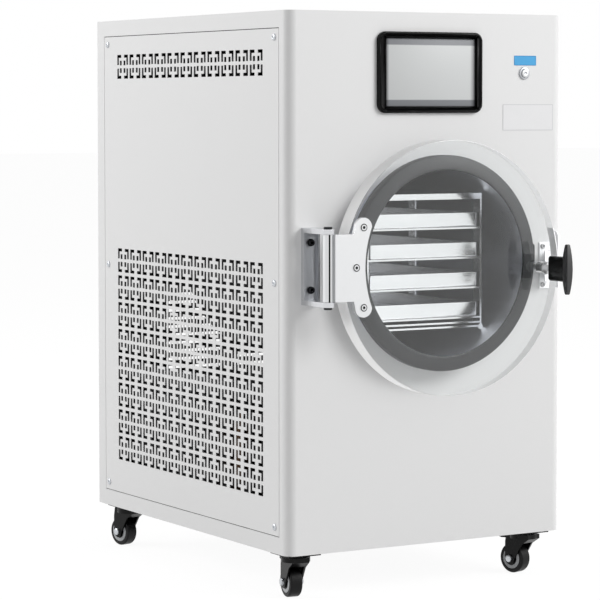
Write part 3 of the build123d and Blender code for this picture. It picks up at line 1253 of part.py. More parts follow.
def caster_fork(braked):
    """Swivel fork with its axle bolt, drawn at the origin and trailing towards -Y."""
    half = FORK_GAP / 2 + FORK_SHEET
    tunnel_top = 2 * WHEEL_RADIUS + WHEEL_ROOM
    tunnel_end = -WHEEL_TRAIL - WHEEL_RADIUS - FORK_CROWN_RADIUS
    fork = fork_extrusion(fork_side_outline(), half)
    fork -= block(-FORK_GAP / 2, FORK_GAP / 2, tunnel_end, WHEEL_TRAIL + CUT, -CUT, tunnel_top)
    fork += rod_z(FORK_CROWN_RADIUS, FORK_TOP_Z - FORK_CROWN_DEPTH, FORK_TOP_Z, 0, 0)
    fork += rod_x(AXLE_RADIUS, -half, half, -WHEEL_TRAIL, WHEEL_RADIUS)
    for side in (-1, 1):
        fork += rod_x(AXLE_HEAD_RADIUS, side * half, side * (half + AXLE_HEAD), -WHEEL_TRAIL, WHEEL_RADIUS)
    if braked:
        slot = PEDAL_WIDTH / 2 + PEDAL_SIDE_ROOM
        slot_end = -PEDAL_TRAIL + PEDAL_EYE_RADIUS + 2 * CUT
        slot_start = -PEDAL_TRAIL - PEDAL_LENGTH
        fork -= block(-slot, slot, slot_start, slot_end, tunnel_top - CUT, FORK_TOP_Z - 2 * CUT)
        fork += rod_x(PEDAL_PIN_RADIUS, -slot, slot, -PEDAL_TRAIL, PEDAL_Z)
    return fork


def caster_wheel():
    """Wheel on its axle line, drawn at the origin."""
    wheel = rod_x(WHEEL_RADIUS, -WHEEL_WIDTH / 2, WHEEL_WIDTH / 2, -WHEEL_TRAIL, WHEEL_RADIUS)
    wheel = chamfer(wheel.edges().filter_by(GeomType.CIRCLE), WHEEL_EDGE)
    return wheel - rod_x(AXLE_RADIUS + RUNNING_FIT, -WHEEL_WIDTH, WHEEL_WIDTH, -WHEEL_TRAIL, WHEEL_RADIUS)


def brake_pedal():
    """Foot pedal of a front caster, turning on a pin across the fork's trailing end."""
    tip = PEDAL_TRAIL + PEDAL_LENGTH
    toe = tip - PEDAL_EYE_RADIUS
    tread = make_face(Polyline(
        (PEDAL_TRAIL, PEDAL_Z + PEDAL_EYE_RADIUS), (toe, PEDAL_Z + PEDAL_EYE_RADIUS - CUT),
        (tip, PEDAL_Z + PEDAL_EYE_RADIUS + CUT), (tip, PEDAL_Z), (toe, PEDAL_Z - CUT),
        (PEDAL_TRAIL, PEDAL_Z), close=True))
    outline = tread + Pos(PEDAL_TRAIL, PEDAL_Z) * Circle(PEDAL_EYE_RADIUS)
    outline -= Pos(PEDAL_TRAIL, PEDAL_Z) * Circle(PEDAL_PIN_RADIUS + RUNNING_FIT)
    return fork_extrusion(outline, PEDAL_WIDTH / 2)


def place_caster(piece, key):
    """Move a caster piece to its corner and swing it to its resting angle."""
    x, y, angle = CASTERS[key]
    return Pos(x, y, 0) * Rot(0, 0, angle) * piece


def build_nodes():
    """Every node of the freeze dryer by name."""
    nodes = {
        "cabinet_wrap": cabinet_wrap(),
        "top_panel": top_panel(),
        "base_pan": base_pan(),
        "back_panel": back_panel(),
        "left_side_panel": side_panel(-1),
        "right_side_panel": side_panel(1),
        "side_panel_screws": side_panel_screws(),
        "cover_screws": cover_screws(),
        "display_bezel": display_bezel(),
        "display_glass": display_glass(),
        "display_board": display_board(),
        "button_housing": button_housing(),
        "power_button": power_button(),
        "vacuum_chamber": vacuum_chamber(),
        "chamber_insulation": chamber_insulation(),
        "chamber_cradle": chamber_cradle(),
        "door_gasket": door_gasket(),
        "door_disc": door_disc(),
        "hinge_arm": hinge_arm(),
        "arm_screws": arm_screws(),
        "hinge_bracket": hinge_bracket(),
        "hinge_bolts": hinge_bolts(),
        "hinge_pin": hinge_pin(),
        "latch_bush": latch_bush(),
        "latch_spindle": latch_spindle(),
        "knob": knob(),
        "latch_keeper": latch_keeper(),
        "keeper_screws": keeper_screws(),
        "rim_guard": rim_guard(),
        "tray_rack": tray_rack(),
        "compressor": compressor(),
        "compressor_grommets": compressor_grommets(),
        "condenser": condenser(),
        "fan_shroud": fan_shroud(),
        "fan_rotor": fan_rotor(),
        "filter_dryer": filter_dryer(),
        "refrigerant_lines": refrigerant_lines(),
        "electronics_shelf": electronics_shelf(),
        "control_board": control_board(),
        "power_supply": power_supply(),
        "vacuum_port": vacuum_port(),
        "power_inlet": power_inlet(),
        "drain_line": drain_line(),
        "drain_valve": drain_valve(),
        "drain_lever": drain_lever(),
        "caster_plates": caster_plates(),
    }
    for index in range(TRAY_COUNT):
        nodes[f"tray_{index + 1}"] = tray(index)
    for key in CASTERS:
        nodes[f"caster_fork_{key}"] = place_caster(caster_fork(key in BRAKED_CASTERS), key)
        nodes[f"caster_wheel_{key}"] = place_caster(caster_wheel(), key)
    for key in BRAKED_CASTERS:
        nodes[f"brake_pedal_{key}"] = place_caster(brake_pedal(), key)
    return nodes


os.makedirs("parts", exist_ok=True)
for name, solid in build_nodes().items():
    export_step(solid, f"parts/{name}.step")
    print(f"{name}: {solid.volume / 1000:.1f} cm3, {len(solid.solids())} solids")
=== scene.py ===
"""Looks of a freeze dryer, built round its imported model: finishes, bevelled copies and modelled pieces."""

import json
import logging
import math
from collections.abc import Callable, Iterable, Sequence
from dataclasses import dataclass
from enum import Enum

import bpy
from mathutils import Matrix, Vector

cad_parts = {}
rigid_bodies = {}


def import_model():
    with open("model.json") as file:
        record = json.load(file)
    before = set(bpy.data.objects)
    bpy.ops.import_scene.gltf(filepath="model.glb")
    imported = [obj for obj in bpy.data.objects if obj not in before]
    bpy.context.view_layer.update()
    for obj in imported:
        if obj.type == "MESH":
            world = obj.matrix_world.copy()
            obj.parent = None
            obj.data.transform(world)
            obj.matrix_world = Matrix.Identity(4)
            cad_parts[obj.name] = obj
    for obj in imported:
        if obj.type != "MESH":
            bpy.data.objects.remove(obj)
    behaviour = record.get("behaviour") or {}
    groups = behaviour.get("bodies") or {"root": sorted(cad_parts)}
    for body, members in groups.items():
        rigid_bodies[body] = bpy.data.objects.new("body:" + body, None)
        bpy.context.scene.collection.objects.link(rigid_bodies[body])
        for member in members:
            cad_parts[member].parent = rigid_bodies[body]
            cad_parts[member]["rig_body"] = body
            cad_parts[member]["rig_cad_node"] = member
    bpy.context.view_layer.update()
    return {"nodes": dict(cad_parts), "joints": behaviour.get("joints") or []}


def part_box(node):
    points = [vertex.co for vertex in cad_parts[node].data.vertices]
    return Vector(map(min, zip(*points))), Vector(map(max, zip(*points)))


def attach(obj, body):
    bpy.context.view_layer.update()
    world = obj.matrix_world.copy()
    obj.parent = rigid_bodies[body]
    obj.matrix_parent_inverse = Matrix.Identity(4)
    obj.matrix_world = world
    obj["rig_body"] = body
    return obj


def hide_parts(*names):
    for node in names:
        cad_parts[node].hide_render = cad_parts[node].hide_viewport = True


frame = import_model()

Point = Vector | tuple[float, float, float]
Profile = Sequence[tuple[float, float]]
Test = Callable[[Vector, Vector], bool]

LOG = logging.getLogger("freeze_dryer")
MM = 0.001
# Vertices nearer than this, in metres, are merged.
MERGE = 1e-6
# Two places nearer than this, in metres, count as one.
TOUCH = 1e-5
# A face counts as looking along an axis when its unit normal has this much of it.
FACING = 0.9


class Side(Enum):
    """Left or right side of the cabinet, as seen from the front."""

    LEFT = -1
    RIGHT = 1

    @property
    def panel(self) -> str:
        """The CAD node of this side's access panel."""
        return f"{self.name.lower()}_side_panel"

    def outer(self, low: Vector, high: Vector) -> float:
        """X of a box's outer face on this side."""
        return high.x if self is Side.RIGHT else low.x


class Corner(Enum):
    """The four casters by their corner."""

    FRONT_LEFT = "front_left"
    FRONT_RIGHT = "front_right"
    REAR_LEFT = "rear_left"
    REAR_RIGHT = "rear_right"


# ---------------------------------------------------------------- colour and nodes


def linear(hex_colour: str) -> tuple[float, float, float, float]:
    """Turn an sRGB hex colour into linear RGBA.

    Args:
        hex_colour: six hex digits, such as "E6E7E8".

    Returns:
        Red, green, blue and an alpha of 1.
    """
    channels = [int(hex_colour[i:i + 2], 16) / 255 for i in (0, 2, 4)]
    red, green, blue = [c / 12.92 if c <= 0.04045 else ((c + 0.055) / 1.055) ** 2.4 for c in channels]
    return red, green, blue, 1.0


def add_node(tree: bpy.types.NodeTree, kind: str, settings: dict | None = None,
             values: dict | None = None, links: dict | None = None) -> bpy.types.Node:
    """Add one node with its settings, its socket values and its incoming links.

    Args:
        tree: the node tree that gets the node.
        kind: the node's type name.
        settings: attributes of the node itself.
        values: socket name or index to a constant.
        links: socket name or index to the socket that feeds it.

    Returns:
        The new node.
    """
    node = tree.nodes.new(kind)
    for key, value in (settings or {}).items():
        setattr(node, key, value)
    for key, value in (values or {}).items():
        node.inputs[key].default_value = value
    for key, source in (links or {}).items():
        tree.links.new(source, node.inputs[key])
    return node


def new_material(name: str) -> tuple[bpy.types.Material, bpy.types.NodeTree]:
    """Make an empty node material.

    Args:
        name: the material's name.

    Returns:
        The material and its cleared node tree.
    """
    material = bpy.data.materials.new(name)
    material.use_nodes = True
    material.node_tree.nodes.clear()
    return material, material.node_tree


# ---------------------------------------------------------------- finishes


@dataclass(frozen=True)
class Surface:
    """What all finishes share: a name, and a material that is made on first use."""

    name: str

    def material(self) -> bpy.types.Material:
        """Return the finish's material, made on first use."""
        return bpy.data.materials.get(self.name) or self.build()

    def build(self) -> bpy.types.Material:
        """Build the material's nodes, which differ from one kind of finish to the next."""
        raise NotImplementedError


@dataclass(frozen=True)
class Finish(Surface):
    """A surface with a fine grain that varies its colour and roughness and raises it slightly.

    The grain is given in millimetres along each axis, so a long value along one axis brushes it that way.
    The span says between which values nearly all of the noise lies.
    """

    colour: str
    roughness: float
    metallic: float = 0.0
    ior: float = 1.5
    grain_mm: Point = (2.0, 2.0, 2.0)
    tone_spread: float = 0.03
    rough_spread: float = 0.04
    relief_mm: float = 0.01
    coat: float = 0.0
    span: tuple[float, float] = (0.3, 0.7)
    smoothest: float = 0.02

    def grain(self, tree: bpy.types.NodeTree) -> bpy.types.NodeSocket:
        """Add the noise that the grain follows, in the piece's own coordinates.

        Args:
            tree: the node tree.

        Returns:
            The noise's value.
        """
        coordinates = add_node(tree, "ShaderNodeTexCoord")
        scale = tuple(1 / (size * MM) for size in self.grain_mm)
        mapping = add_node(tree, "ShaderNodeMapping", values={"Scale": scale},
                           links={"Vector": coordinates.outputs["Object"]})
        noise = add_node(tree, "ShaderNodeTexNoise", values={"Scale": 1.0, "Detail": 2.0, "Roughness": 0.6},
                         links={"Vector": mapping.outputs["Vector"]})
        return noise.outputs["Fac"]

    def build(self) -> bpy.types.Material:
        """Build the nodes: one grain sets the tone, the roughness and the relief.

        Returns:
            The material.
        """
        material, tree = new_material(self.name)
        factor = self.grain(tree)
        tone = linear(self.colour)
        dark = tuple(c * (1 - self.tone_spread) for c in tone[:3]) + (1.0,)
        light = tuple(min(1.0, c * (1 + self.tone_spread)) for c in tone[:3]) + (1.0,)
        colour = add_node(tree, "ShaderNodeMix", {"data_type": "RGBA"}, {6: dark, 7: light}, {0: factor})
        rough = add_node(tree, "ShaderNodeMapRange",
                         values={"From Min": self.span[0], "From Max": self.span[1],
                                 "To Min": max(self.smoothest, self.roughness - self.rough_spread),
                                 "To Max": self.roughness + self.rough_spread},
                         links={"Value": factor})
        bump = add_node(tree, "ShaderNodeBump", values={"Distance": self.relief_mm * MM, "Strength": 1.0},
                        links={"Height": factor})
        shader = add_node(tree, "ShaderNodeBsdfPrincipled",
                          values={"Metallic": self.metallic, "IOR": self.ior, "Coat Weight": self.coat,
                                  "Coat Roughness": 0.1},
                          links={"Base Color": colour.outputs[2], "Roughness": rough.outputs["Result"],
                                 "Normal": bump.outputs["Normal"]})
        add_node(tree, "ShaderNodeOutputMaterial", links={"Surface": shader.outputs["BSDF"]})
        return material


@dataclass(frozen=True)
class ClearSheet(Surface):
    """Cast acrylic: clear where polished, milky where sanded.

    The light that reaches what lies behind it passes freely, tinted by the shade. Milk is the share of the
    surface that glows through instead of showing what is behind.
    """

    colour: str
    ior: float = 1.49
    transmission: float = 1.0
    roughness: float = 0.0
    milk: float = 0.0
    shade: str = "FEFEFE"

    def build(self) -> bpy.types.Material:
        """Build the nodes: the clear shader, the milk in it, and a free way for light to what lies behind.

        Returns:
            The material.
        """
        material, tree = new_material(self.name)
        shader = add_node(tree, "ShaderNodeBsdfPrincipled",
                          values={"Base Color": linear(self.colour), "Roughness": self.roughness,
                                  "IOR": self.ior, "Transmission Weight": self.transmission})
        surface = shader.outputs["BSDF"]
        if self.milk:
            cloudy = add_node(tree, "ShaderNodeBsdfTranslucent", values={"Color": linear(self.colour)})
            sanded = add_node(tree, "ShaderNodeMixShader", values={0: self.milk},
                              links={1: surface, 2: cloudy.outputs["BSDF"]})
            surface = sanded.outputs["Shader"]
        open_air = add_node(tree, "ShaderNodeBsdfTransparent", values={"Color": linear(self.shade)})
        path = add_node(tree, "ShaderNodeLightPath")
        carried = add_node(tree, "ShaderNodeMath", {"operation": "MAXIMUM"},
                           links={0: path.outputs["Is Shadow Ray"], 1: path.outputs["Is Diffuse Ray"]})
        mix = add_node(tree, "ShaderNodeMixShader",
                       links={0: carried.outputs[0], 1: surface, 2: open_air.outputs["BSDF"]})
        add_node(tree, "ShaderNodeOutputMaterial", links={"Surface": mix.outputs["Shader"]})
        return material


@dataclass(frozen=True)
class ScreenFace(Surface):
    """A switched-off display under its cover: a pale field between two darker bands, shaded at its sides.

    Shares are of the display's height for the bands, and of its width for the sides. A side's shade is full
    over its first part, and fades out over the rest, further in on the right.
    """

    field: str
    band: str
    low: Vector
    high: Vector
    band_share: float = 0.09
    band_fade: float = 0.012
    side_share: float = 0.035
    side_full: float = 0.3
    right_reach: float = 1.6
    side_shade: str = "9A9A9C"
    roughness: float = 0.42
    ior: float = 1.4

    def ramp(self, tree: bpy.types.NodeTree, source: bpy.types.NodeSocket, start: float, end: float,
             ends: str, stops: Iterable[tuple[float, str]]) -> bpy.types.NodeSocket:
        """Spread colours along one axis of the piece.

        Args:
            tree: the node tree.
            source: the coordinate.
            start: where the ramp starts, in metres.
            end: where it ends.
            ends: the colour at both ends.
            stops: position from 0 to 1 and colour of each stop between.

        Returns:
            The colour's socket.
        """
        share = add_node(tree, "ShaderNodeMapRange", values={"From Min": start, "From Max": end},
                         links={"Value": source})
        ramp = add_node(tree, "ShaderNodeValToRGB", links={"Fac": share.outputs["Result"]})
        marks = ramp.color_ramp.elements
        marks[0].color = linear(ends)
        marks[1].color = linear(ends)
        for position, colour in stops:
            marks.new(position).color = linear(colour)
        return ramp.outputs["Color"]

    def build(self) -> bpy.types.Material:
        """Build the nodes: the height picks the band or the field, and the sides darken it.

        Returns:
            The material.
        """
        material, tree = new_material(self.name)
        coordinates = add_node(tree, "ShaderNodeTexCoord")
        axes = add_node(tree, "ShaderNodeSeparateXYZ", links={"Vector": coordinates.outputs["Object"]})
        share, fade = self.band_share, self.band_fade
        side, full = self.side_share, self.side_share * self.side_full
        upright = self.ramp(tree, axes.outputs["Z"], self.low.z, self.high.z, self.band,
                            ((share, self.band), (share + fade, self.field),
                             (1 - fade - share, self.field), (1 - share, self.band)))
        across = self.ramp(tree, axes.outputs["X"], self.low.x, self.high.x, self.side_shade,
                           ((full, self.side_shade), (side, "FFFFFF"),
                            (1 - side * self.right_reach, "FFFFFF"), (1 - full, self.side_shade)))
        colour = add_node(tree, "ShaderNodeMix", {"data_type": "RGBA", "blend_type": "MULTIPLY"}, {0: 1.0},
                          {6: upright, 7: across})
        shader = add_node(tree, "ShaderNodeBsdfPrincipled",
                          values={"Roughness": self.roughness, "IOR": self.ior},
                          links={"Base Color": colour.outputs[2]})
        add_node(tree, "ShaderNodeOutputMaterial", links={"Surface": shader.outputs["BSDF"]})
        return material


# Grain sizes are millimetres. Brush lines, spark texture and blasting are finer on the real thing, and are
# drawn as coarse as here so that they show.

# Polyester powder coat, sprayed and baked: satin white with a fine orange peel.
POWDER_COAT = Finish("powder_coat_white", "E8E8E8", 0.4, grain_mm=(2.2, 2.2, 2.2), tone_spread=0.008,
                     rough_spread=0.03, relief_mm=0.006)
# Galvanised sheet, rolled: a dull grey with soft spangle.
GALVANISED_SHEET = Finish("galvanised_sheet", "A7A9AB", 0.42, 1.0, grain_mm=(9, 9, 9), tone_spread=0.12)
# 304 stainless sheet, brushed along its depth: bright with fine lines.
BRUSHED_STAINLESS = Finish("stainless_brushed", "F5F5F6", 0.16, 1.0, grain_mm=(90, 90, 1.2),
                           tone_spread=0.02, rough_spread=0.04, relief_mm=0.0008)
# 304 stainless tube, rolled and cleaned: even, softly reflecting grey inside the chamber.
CHAMBER_STAINLESS = Finish("stainless_rolled", "EAECF3", 0.4, 1.0, grain_mm=(3, 80, 3), tone_spread=0.05,
                           rough_spread=0.05, relief_mm=0.004)
# Stainless plate, bead-blasted then lightly buffed: pale, with no clear reflections.
SATIN_STAINLESS = Finish("stainless_satin", "DADBDC", 0.34, 1.0, grain_mm=(1.2, 1.2, 1.2), tone_spread=0.03,
                         rough_spread=0.04, relief_mm=0.003)
# Zinc casting, buffed and plated: bright with soft reflections.
BUFFED_PLATE = Finish("plated_zinc_buffed", "D4D5D8", 0.22, 1.0, grain_mm=(2, 2, 30), tone_spread=0.03,
                      rough_spread=0.04, relief_mm=0.002)
# Zinc casting, as it leaves the mould: dull mid grey, drawn out along its length; the button's ring and its
# cap's dimple take it. In the hinge bracket's room the same grey is painted shade.
CAST_ZINC_AND_SHADE = Finish("zinc_as_cast_and_shade", "B2B4B8", 0.42, 1.0, grain_mm=(1.2, 1.2, 30), tone_spread=0.12,
                   rough_spread=0.06, relief_mm=0.004)
# Zinc plate on pressed steel: bright bluish grey.
ZINC_PLATE = Finish("zinc_plate", "C3C6CA", 0.28, 1.0, grain_mm=(4, 4, 4), tone_spread=0.08,
                    rough_spread=0.08)
# Zinc plate left dull: a pale metal with next to no mirror image.
DULL_PLATE = Finish("plated_zinc_dull", "F2F2F3", 0.6, 1.0, grain_mm=(2, 2, 2), tone_spread=0.02,
                    relief_mm=0.002)
# Plain machine screws, turned and oiled: mid grey steel.
SCREW_STEEL = Finish("screw_steel", "8B8D90", 0.3, 1.0, grain_mm=(1, 1, 1), tone_spread=0.1)
# Black-oxide socket screws: nearly black with a soft sheen. The same black is painted shade in the arm's seam
# and in the arm screws' grooves and sockets.
BLACK_OXIDE_AND_SHADE = Finish("black_oxide_and_painted_shade", "2A2B2D", 0.35, 1.0, grain_mm=(1, 1, 1), tone_spread=0.1)
# Silicone rubber, moulded: an even dark grey that a wide lamp's faint sheen lifts.
SILICONE = Finish("silicone_grey", "292A2C", 0.5, ior=1.41, grain_mm=(9, 9, 9), tone_spread=0.03,
                  relief_mm=0.0)
# ABS, moulded with a fine spark texture: black, half matte.
MOULDED_ABS = Finish("abs_black", "1A1A1B", 0.4, ior=1.36, grain_mm=(0.8, 0.8, 0.8), tone_spread=0.1,
                     relief_mm=0.01)
# The same ABS made deeper black: painted shade round the bezel's edges and on its walls.
SHADED_ABS = Finish("abs_black_painted_shade", "040404", 0.2, ior=1.24, grain_mm=(0.8, 0.8, 0.8),
                      tone_spread=0.1, relief_mm=0.002)
# Phenolic handle, compression moulded and tumbled: a soft black, half matte.
PHENOLIC = Finish("phenolic_black", "333334", 0.42, grain_mm=(1.5, 1.5, 1.5), tone_spread=0.1,
                  relief_mm=0.006)
# The same phenolic made deeper black: painted shade on the knob's stem and on its faces that look neither to
# the front nor to the sides.
SHADED_PHENOLIC = Finish("phenolic_black_painted_shade", "050505", 0.22, ior=1.28, grain_mm=(1.5, 1.5, 1.5),
                           tone_spread=0.1, relief_mm=0.003)
# Pressed steel fork, black enamelled: gloss black.
BLACK_ENAMEL = Finish("enamel_black", "040404", 0.3, ior=1.27, grain_mm=(4, 4, 4), tone_spread=0.1,
                      relief_mm=0.005)
# Polyurethane tread, cast on the wheel: black with scuffs.
TREAD = Finish("polyurethane_black", "060607", 0.42, ior=1.3, grain_mm=(5, 5, 5), tone_spread=0.2,
               rough_spread=0.1, relief_mm=0.02)
# Nylon wheel centre, moulded: pale grey.
NYLON = Finish("nylon_grey", "B4B6B8", 0.4)
# Printed polyester plate, left blank: even blue, with a deeper printed border.
BLUE_PLATE = Finish("polyester_blue", "43A6DE", 0.4, grain_mm=(1.5, 1.5, 1.5), tone_spread=0.02,
                    relief_mm=0.002)
BLUE_BORDER = Finish("polyester_blue_border", "1F86C2", 0.4, grain_mm=(1.5, 1.5, 1.5), tone_spread=0.02,
                     relief_mm=0.002)
# Vinyl label, left blank: slightly glossier than the paint, with a faint grey border.
VINYL = Finish("vinyl_white", "E9E9EA", 0.35, tone_spread=0.01, relief_mm=0.002)
VINYL_BORDER = Finish("vinyl_grey_border", "D2D2D4", 0.35, tone_spread=0.01, relief_mm=0.002)
# Dark matte grey on the casing's inner faces: painted shade for the inside seen through the vents.
INNER_SHADE = Finish("inner_painted_shade", "303133", 0.6, grain_mm=(4, 4, 4), tone_spread=0.08)
# Bare copper tube, drawn and tarnished: brown with dull patches.
COPPER = Finish("copper_drawn", "66503F", 0.4, 1.0, grain_mm=(8, 8, 8), tone_spread=0.15, rough_spread=0.1)
# Brass, forged and machined: warm yellow with soft reflections.
BRASS = Finish("brass_machined", "C9A65A", 0.28, 1.0, grain_mm=(3, 3, 3), tone_spread=0.08)
# Alkyd paint on the compressor's can, sprayed thick: glossy black.
CAN_PAINT = Finish("alkyd_black", "101011", 0.3, grain_mm=(5, 5, 5), tone_spread=0.1, relief_mm=0.02,
                   coat=0.3)
# Fin stock, rolled aluminium: a dull mid grey.
FIN_STOCK = Finish("aluminium_fins", "8C8E91", 0.5, 1.0, grain_mm=(4, 4, 4), tone_spread=0.08)
# Epoxy glass board under green solder mask: deep green with a soft gloss.
SOLDER_MASK = Finish("solder_mask_green", "1F5B37", 0.35, grain_mm=(3, 3, 3), tone_spread=0.2)
# Nitrile foam, skinned: dull near-black. The strip under each side panel's gap is painted shade in it.
FOAM_AND_SHADE = Finish("nitrile_foam_and_gap_shade", "232324", 0.85, grain_mm=(3, 3, 3), tone_spread=0.15, relief_mm=0.1)
# Rubber mounts, moulded: matte black.
BUFFER_RUBBER = Finish("buffer_rubber", "1A1A1A", 0.6, tone_spread=0.1)
# PVC hose, extruded: pale grey, slightly glossy.
HOSE_PVC = Finish("pvc_hose", "C9CED1", 0.3, grain_mm=(6, 6, 6), tone_spread=0.05)
# Vinyl grip, dipped: deep red, slightly glossy.
GRIP_VINYL = Finish("vinyl_red", "A51E1E", 0.35, grain_mm=(4, 4, 4), tone_spread=0.06)
# Cast acrylic plate, polished on its two faces: clear with sharp reflections.
ACRYLIC = ClearSheet("acrylic_clear", "FBFDFD")
# Cast acrylic, turned and sanded round its rim: milky white that lets light through but no view.
ACRYLIC_RIM = ClearSheet("acrylic_sanded", "FDFDFD", transmission=0.12, roughness=0.4, milk=0.3)


# ---------------------------------------------------------------- modelling


def deselect() -> None:
    """Leave edit mode if needed, and deselect every object."""
    if bpy.context.object and bpy.context.object.mode != "OBJECT":
        object_mode()
    bpy.ops.object.select_all(action="DESELECT")


def object_mode() -> None:
    """Leave edit mode."""
    bpy.ops.object.mode_set(mode="OBJECT")


def edit_all() -> None:
    """Enter edit mode with everything selected."""
    bpy.ops.object.mode_set(mode="EDIT")
    bpy.ops.mesh.select_all(action="SELECT")


def activate(piece: bpy.types.Object) -> None:
    """Select one piece alone and make it active.

    Args:
        piece: the piece.
    """
    deselect()
    piece.select_set(True)
    bpy.context.view_layer.objects.active = piece


def settle(piece: bpy.types.Object) -> bpy.types.Object:
    """Move the piece's place, turn and size into its mesh.

    Args:
        piece: the piece.

    Returns:
        The piece.
    """
    activate(piece)
    bpy.ops.object.transform_apply(location=True, rotation=True, scale=True)
    return piece


def rename(piece: bpy.types.Object, name: str) -> bpy.types.Object:
    """Give a piece and its mesh one name, and return the piece."""
    piece.name = piece.data.name = name
    return piece


def named(name: str) -> bpy.types.Object:
    """Name the primitive that was just added, and settle it."""
    return settle(rename(bpy.context.active_object, name))


def block(name: str, low: Point, high: Point) -> bpy.types.Object:
    """Add a cuboid.

    Args:
        name: the cuboid's name.
        low: its lowest corner.
        high: its highest corner.

    Returns:
        The cuboid.
    """
    deselect()
    low_v, high_v = Vector(low), Vector(high)
    bpy.ops.mesh.primitive_cube_add(size=1, location=(low_v + high_v) / 2, scale=high_v - low_v)
    return named(name)


def rod(name: str, start: Point, end: Point, radius: float, segments: int = 48) -> bpy.types.Object:
    """Add a round bar.

    Args:
        name: the bar's name.
        start: the middle of one end.
        end: the middle of the other end.
        radius: its radius.
        segments: number of sides.

    Returns:
        The bar.
    """
    deselect()
    run = Vector(end) - Vector(start)
    turn = run.to_track_quat("Z", "Y").to_euler()
    bpy.ops.mesh.primitive_cylinder_add(vertices=segments, radius=radius, depth=run.length,
                                        location=(Vector(start) + Vector(end)) / 2, rotation=turn)
    return named(name)


def apply_modifier(piece: bpy.types.Object, kind: str, **settings: object) -> None:
    """Add a modifier and apply it.

    Args:
        piece: the piece.
        kind: the modifier's type name.
        settings: attributes of the modifier.
    """
    activate(piece)
    modifier = piece.modifiers.new(kind.lower(), kind)
    for key, value in settings.items():
        setattr(modifier, key, value)
    bpy.ops.object.modifier_apply(modifier=modifier.name)


def smooth(piece: bpy.types.Object, degrees: float = 35) -> bpy.types.Object:
    """Shade a piece smooth, except over sharp edges.

    Args:
        piece: the piece.
        degrees: edges sharper than this stay sharp.

    Returns:
        The piece.
    """
    activate(piece)
    bpy.ops.object.shade_smooth_by_angle(angle=math.radians(degrees))
    return piece


def soften(piece: bpy.types.Object, width_mm: float, segments: int = 2,
           degrees: float = 32) -> bpy.types.Object:
    """Round the sharp edges of a piece, and keep its flats flat in the shading.

    Args:
        piece: the piece.
        width_mm: width of the rounded edges.
        segments: faces across each rounded edge.
        degrees: edges sharper than this are rounded.

    Returns:
        The piece.
    """
    apply_modifier(piece, "BEVEL", width=width_mm * MM, segments=segments, limit_method="ANGLE",
                   angle_limit=math.radians(degrees), use_clamp_overlap=True)
    smooth(piece, degrees=50)
    apply_modifier(piece, "WEIGHTED_NORMAL", keep_sharp=True)
    return piece


def carve(piece: bpy.types.Object, cutter: bpy.types.Object) -> bpy.types.Object:
    """Cut one solid out of another, and remove the cutter.

    Args:
        piece: the solid that is cut.
        cutter: the solid that is taken out.

    Returns:
        The cut piece.
    """
    apply_modifier(piece, "BOOLEAN", operation="DIFFERENCE", object=cutter, solver="EXACT")
    bpy.data.objects.remove(cutter)
    return piece


def repeat(piece: bpy.types.Object, count: int, step: Point) -> None:
    """Repeat a piece along a line, with touching edges merged.

    Args:
        piece: the piece.
        count: how often it stands in the line.
        step: from one to the next.
    """
    apply_modifier(piece, "ARRAY", count=count, use_relative_offset=False, use_constant_offset=True,
                   constant_offset_displace=step, use_merge_vertices=True, merge_threshold=TOUCH)


def joined(name: str, parts: Iterable[bpy.types.Object]) -> bpy.types.Object:
    """Join several meshes into one piece.

    Args:
        name: the piece's name.
        parts: the meshes.

    Returns:
        The joined piece.
    """
    members = list(parts)
    activate(members[0])
    for part in members:
        part.select_set(True)
    bpy.ops.object.join()
    return rename(bpy.context.active_object, name)


def copied(piece: bpy.types.Object, name: str) -> bpy.types.Object:
    """Copy a piece with a mesh of its own.

    Args:
        piece: the piece.
        name: the copy's name.

    Returns:
        The copy.
    """
    twin = piece.copy()
    twin.data = piece.data.copy()
    bpy.context.scene.collection.objects.link(twin)
    return rename(twin, name)


def shifted(piece: bpy.types.Object, offset: Point, turn_z: float = 0.0,
            about: Point = (0, 0, 0)) -> bpy.types.Object:
    """Turn a piece about a vertical line, then move it, all in its mesh.

    Args:
        piece: the piece.
        offset: how far it moves.
        turn_z: the angle as the edit-mode operator counts it.
        about: a point on the vertical line.

    Returns:
        The piece.
    """
    activate(piece)
    if turn_z:
        edit_all()
        bpy.ops.transform.rotate(value=turn_z, orient_axis="Z", center_override=about)
        object_mode()
    piece.location = offset
    return settle(piece)


def tidy_shell() -> None:
    """In edit mode, merge doubles and turn every face outwards."""
    bpy.ops.mesh.select_all(action="SELECT")
    bpy.ops.mesh.remove_doubles(threshold=MERGE)
    bpy.ops.mesh.normals_make_consistent(inside=False)


def turned(name: str, centre: Point, profile: Profile, segments: int = 128, along: Point = (0, 1, 0),
           closed: bool = True) -> bpy.types.Object:
    """Make a turned part by growing rings along its axis.

    Args:
        name: the piece's name.
        centre: the point on the axis from which the profile's stations count.
        profile: radius and station of each ring; a closed profile returns to its first ring.
        segments: number of sides.
        along: the axis, one of the three main directions.
        closed: whether the profile closes on itself; an open one must start and end near the axis.

    Returns:
        The turned piece.
    """
    axis = Vector(along)
    turn = axis.to_track_quat("Z", "Y").to_euler()
    radius, station = profile[0]
    deselect()
    bpy.ops.mesh.primitive_circle_add(vertices=segments, radius=radius,
                                      location=Vector(centre) + axis * station, rotation=turn)
    piece = named(name)
    edit_all()
    rings = list(profile[1:]) + ([profile[0]] if closed else [])
    if not closed:
        bpy.ops.mesh.edge_face_add()
        bpy.ops.mesh.select_all(action="SELECT")
    for next_radius, next_station in rings:
        bpy.ops.mesh.extrude_edges_move(TRANSFORM_OT_translate={"value": axis * (next_station - station)})
        ratio = next_radius / radius
        across = [1.0 if abs(component) > FACING else ratio for component in axis]
        bpy.ops.transform.resize(value=across, center_override=Vector(centre) + axis * next_station)
        radius, station = next_radius, next_station
    if not closed:
        bpy.ops.mesh.edge_face_add()
    tidy_shell()
    object_mode()
    return piece


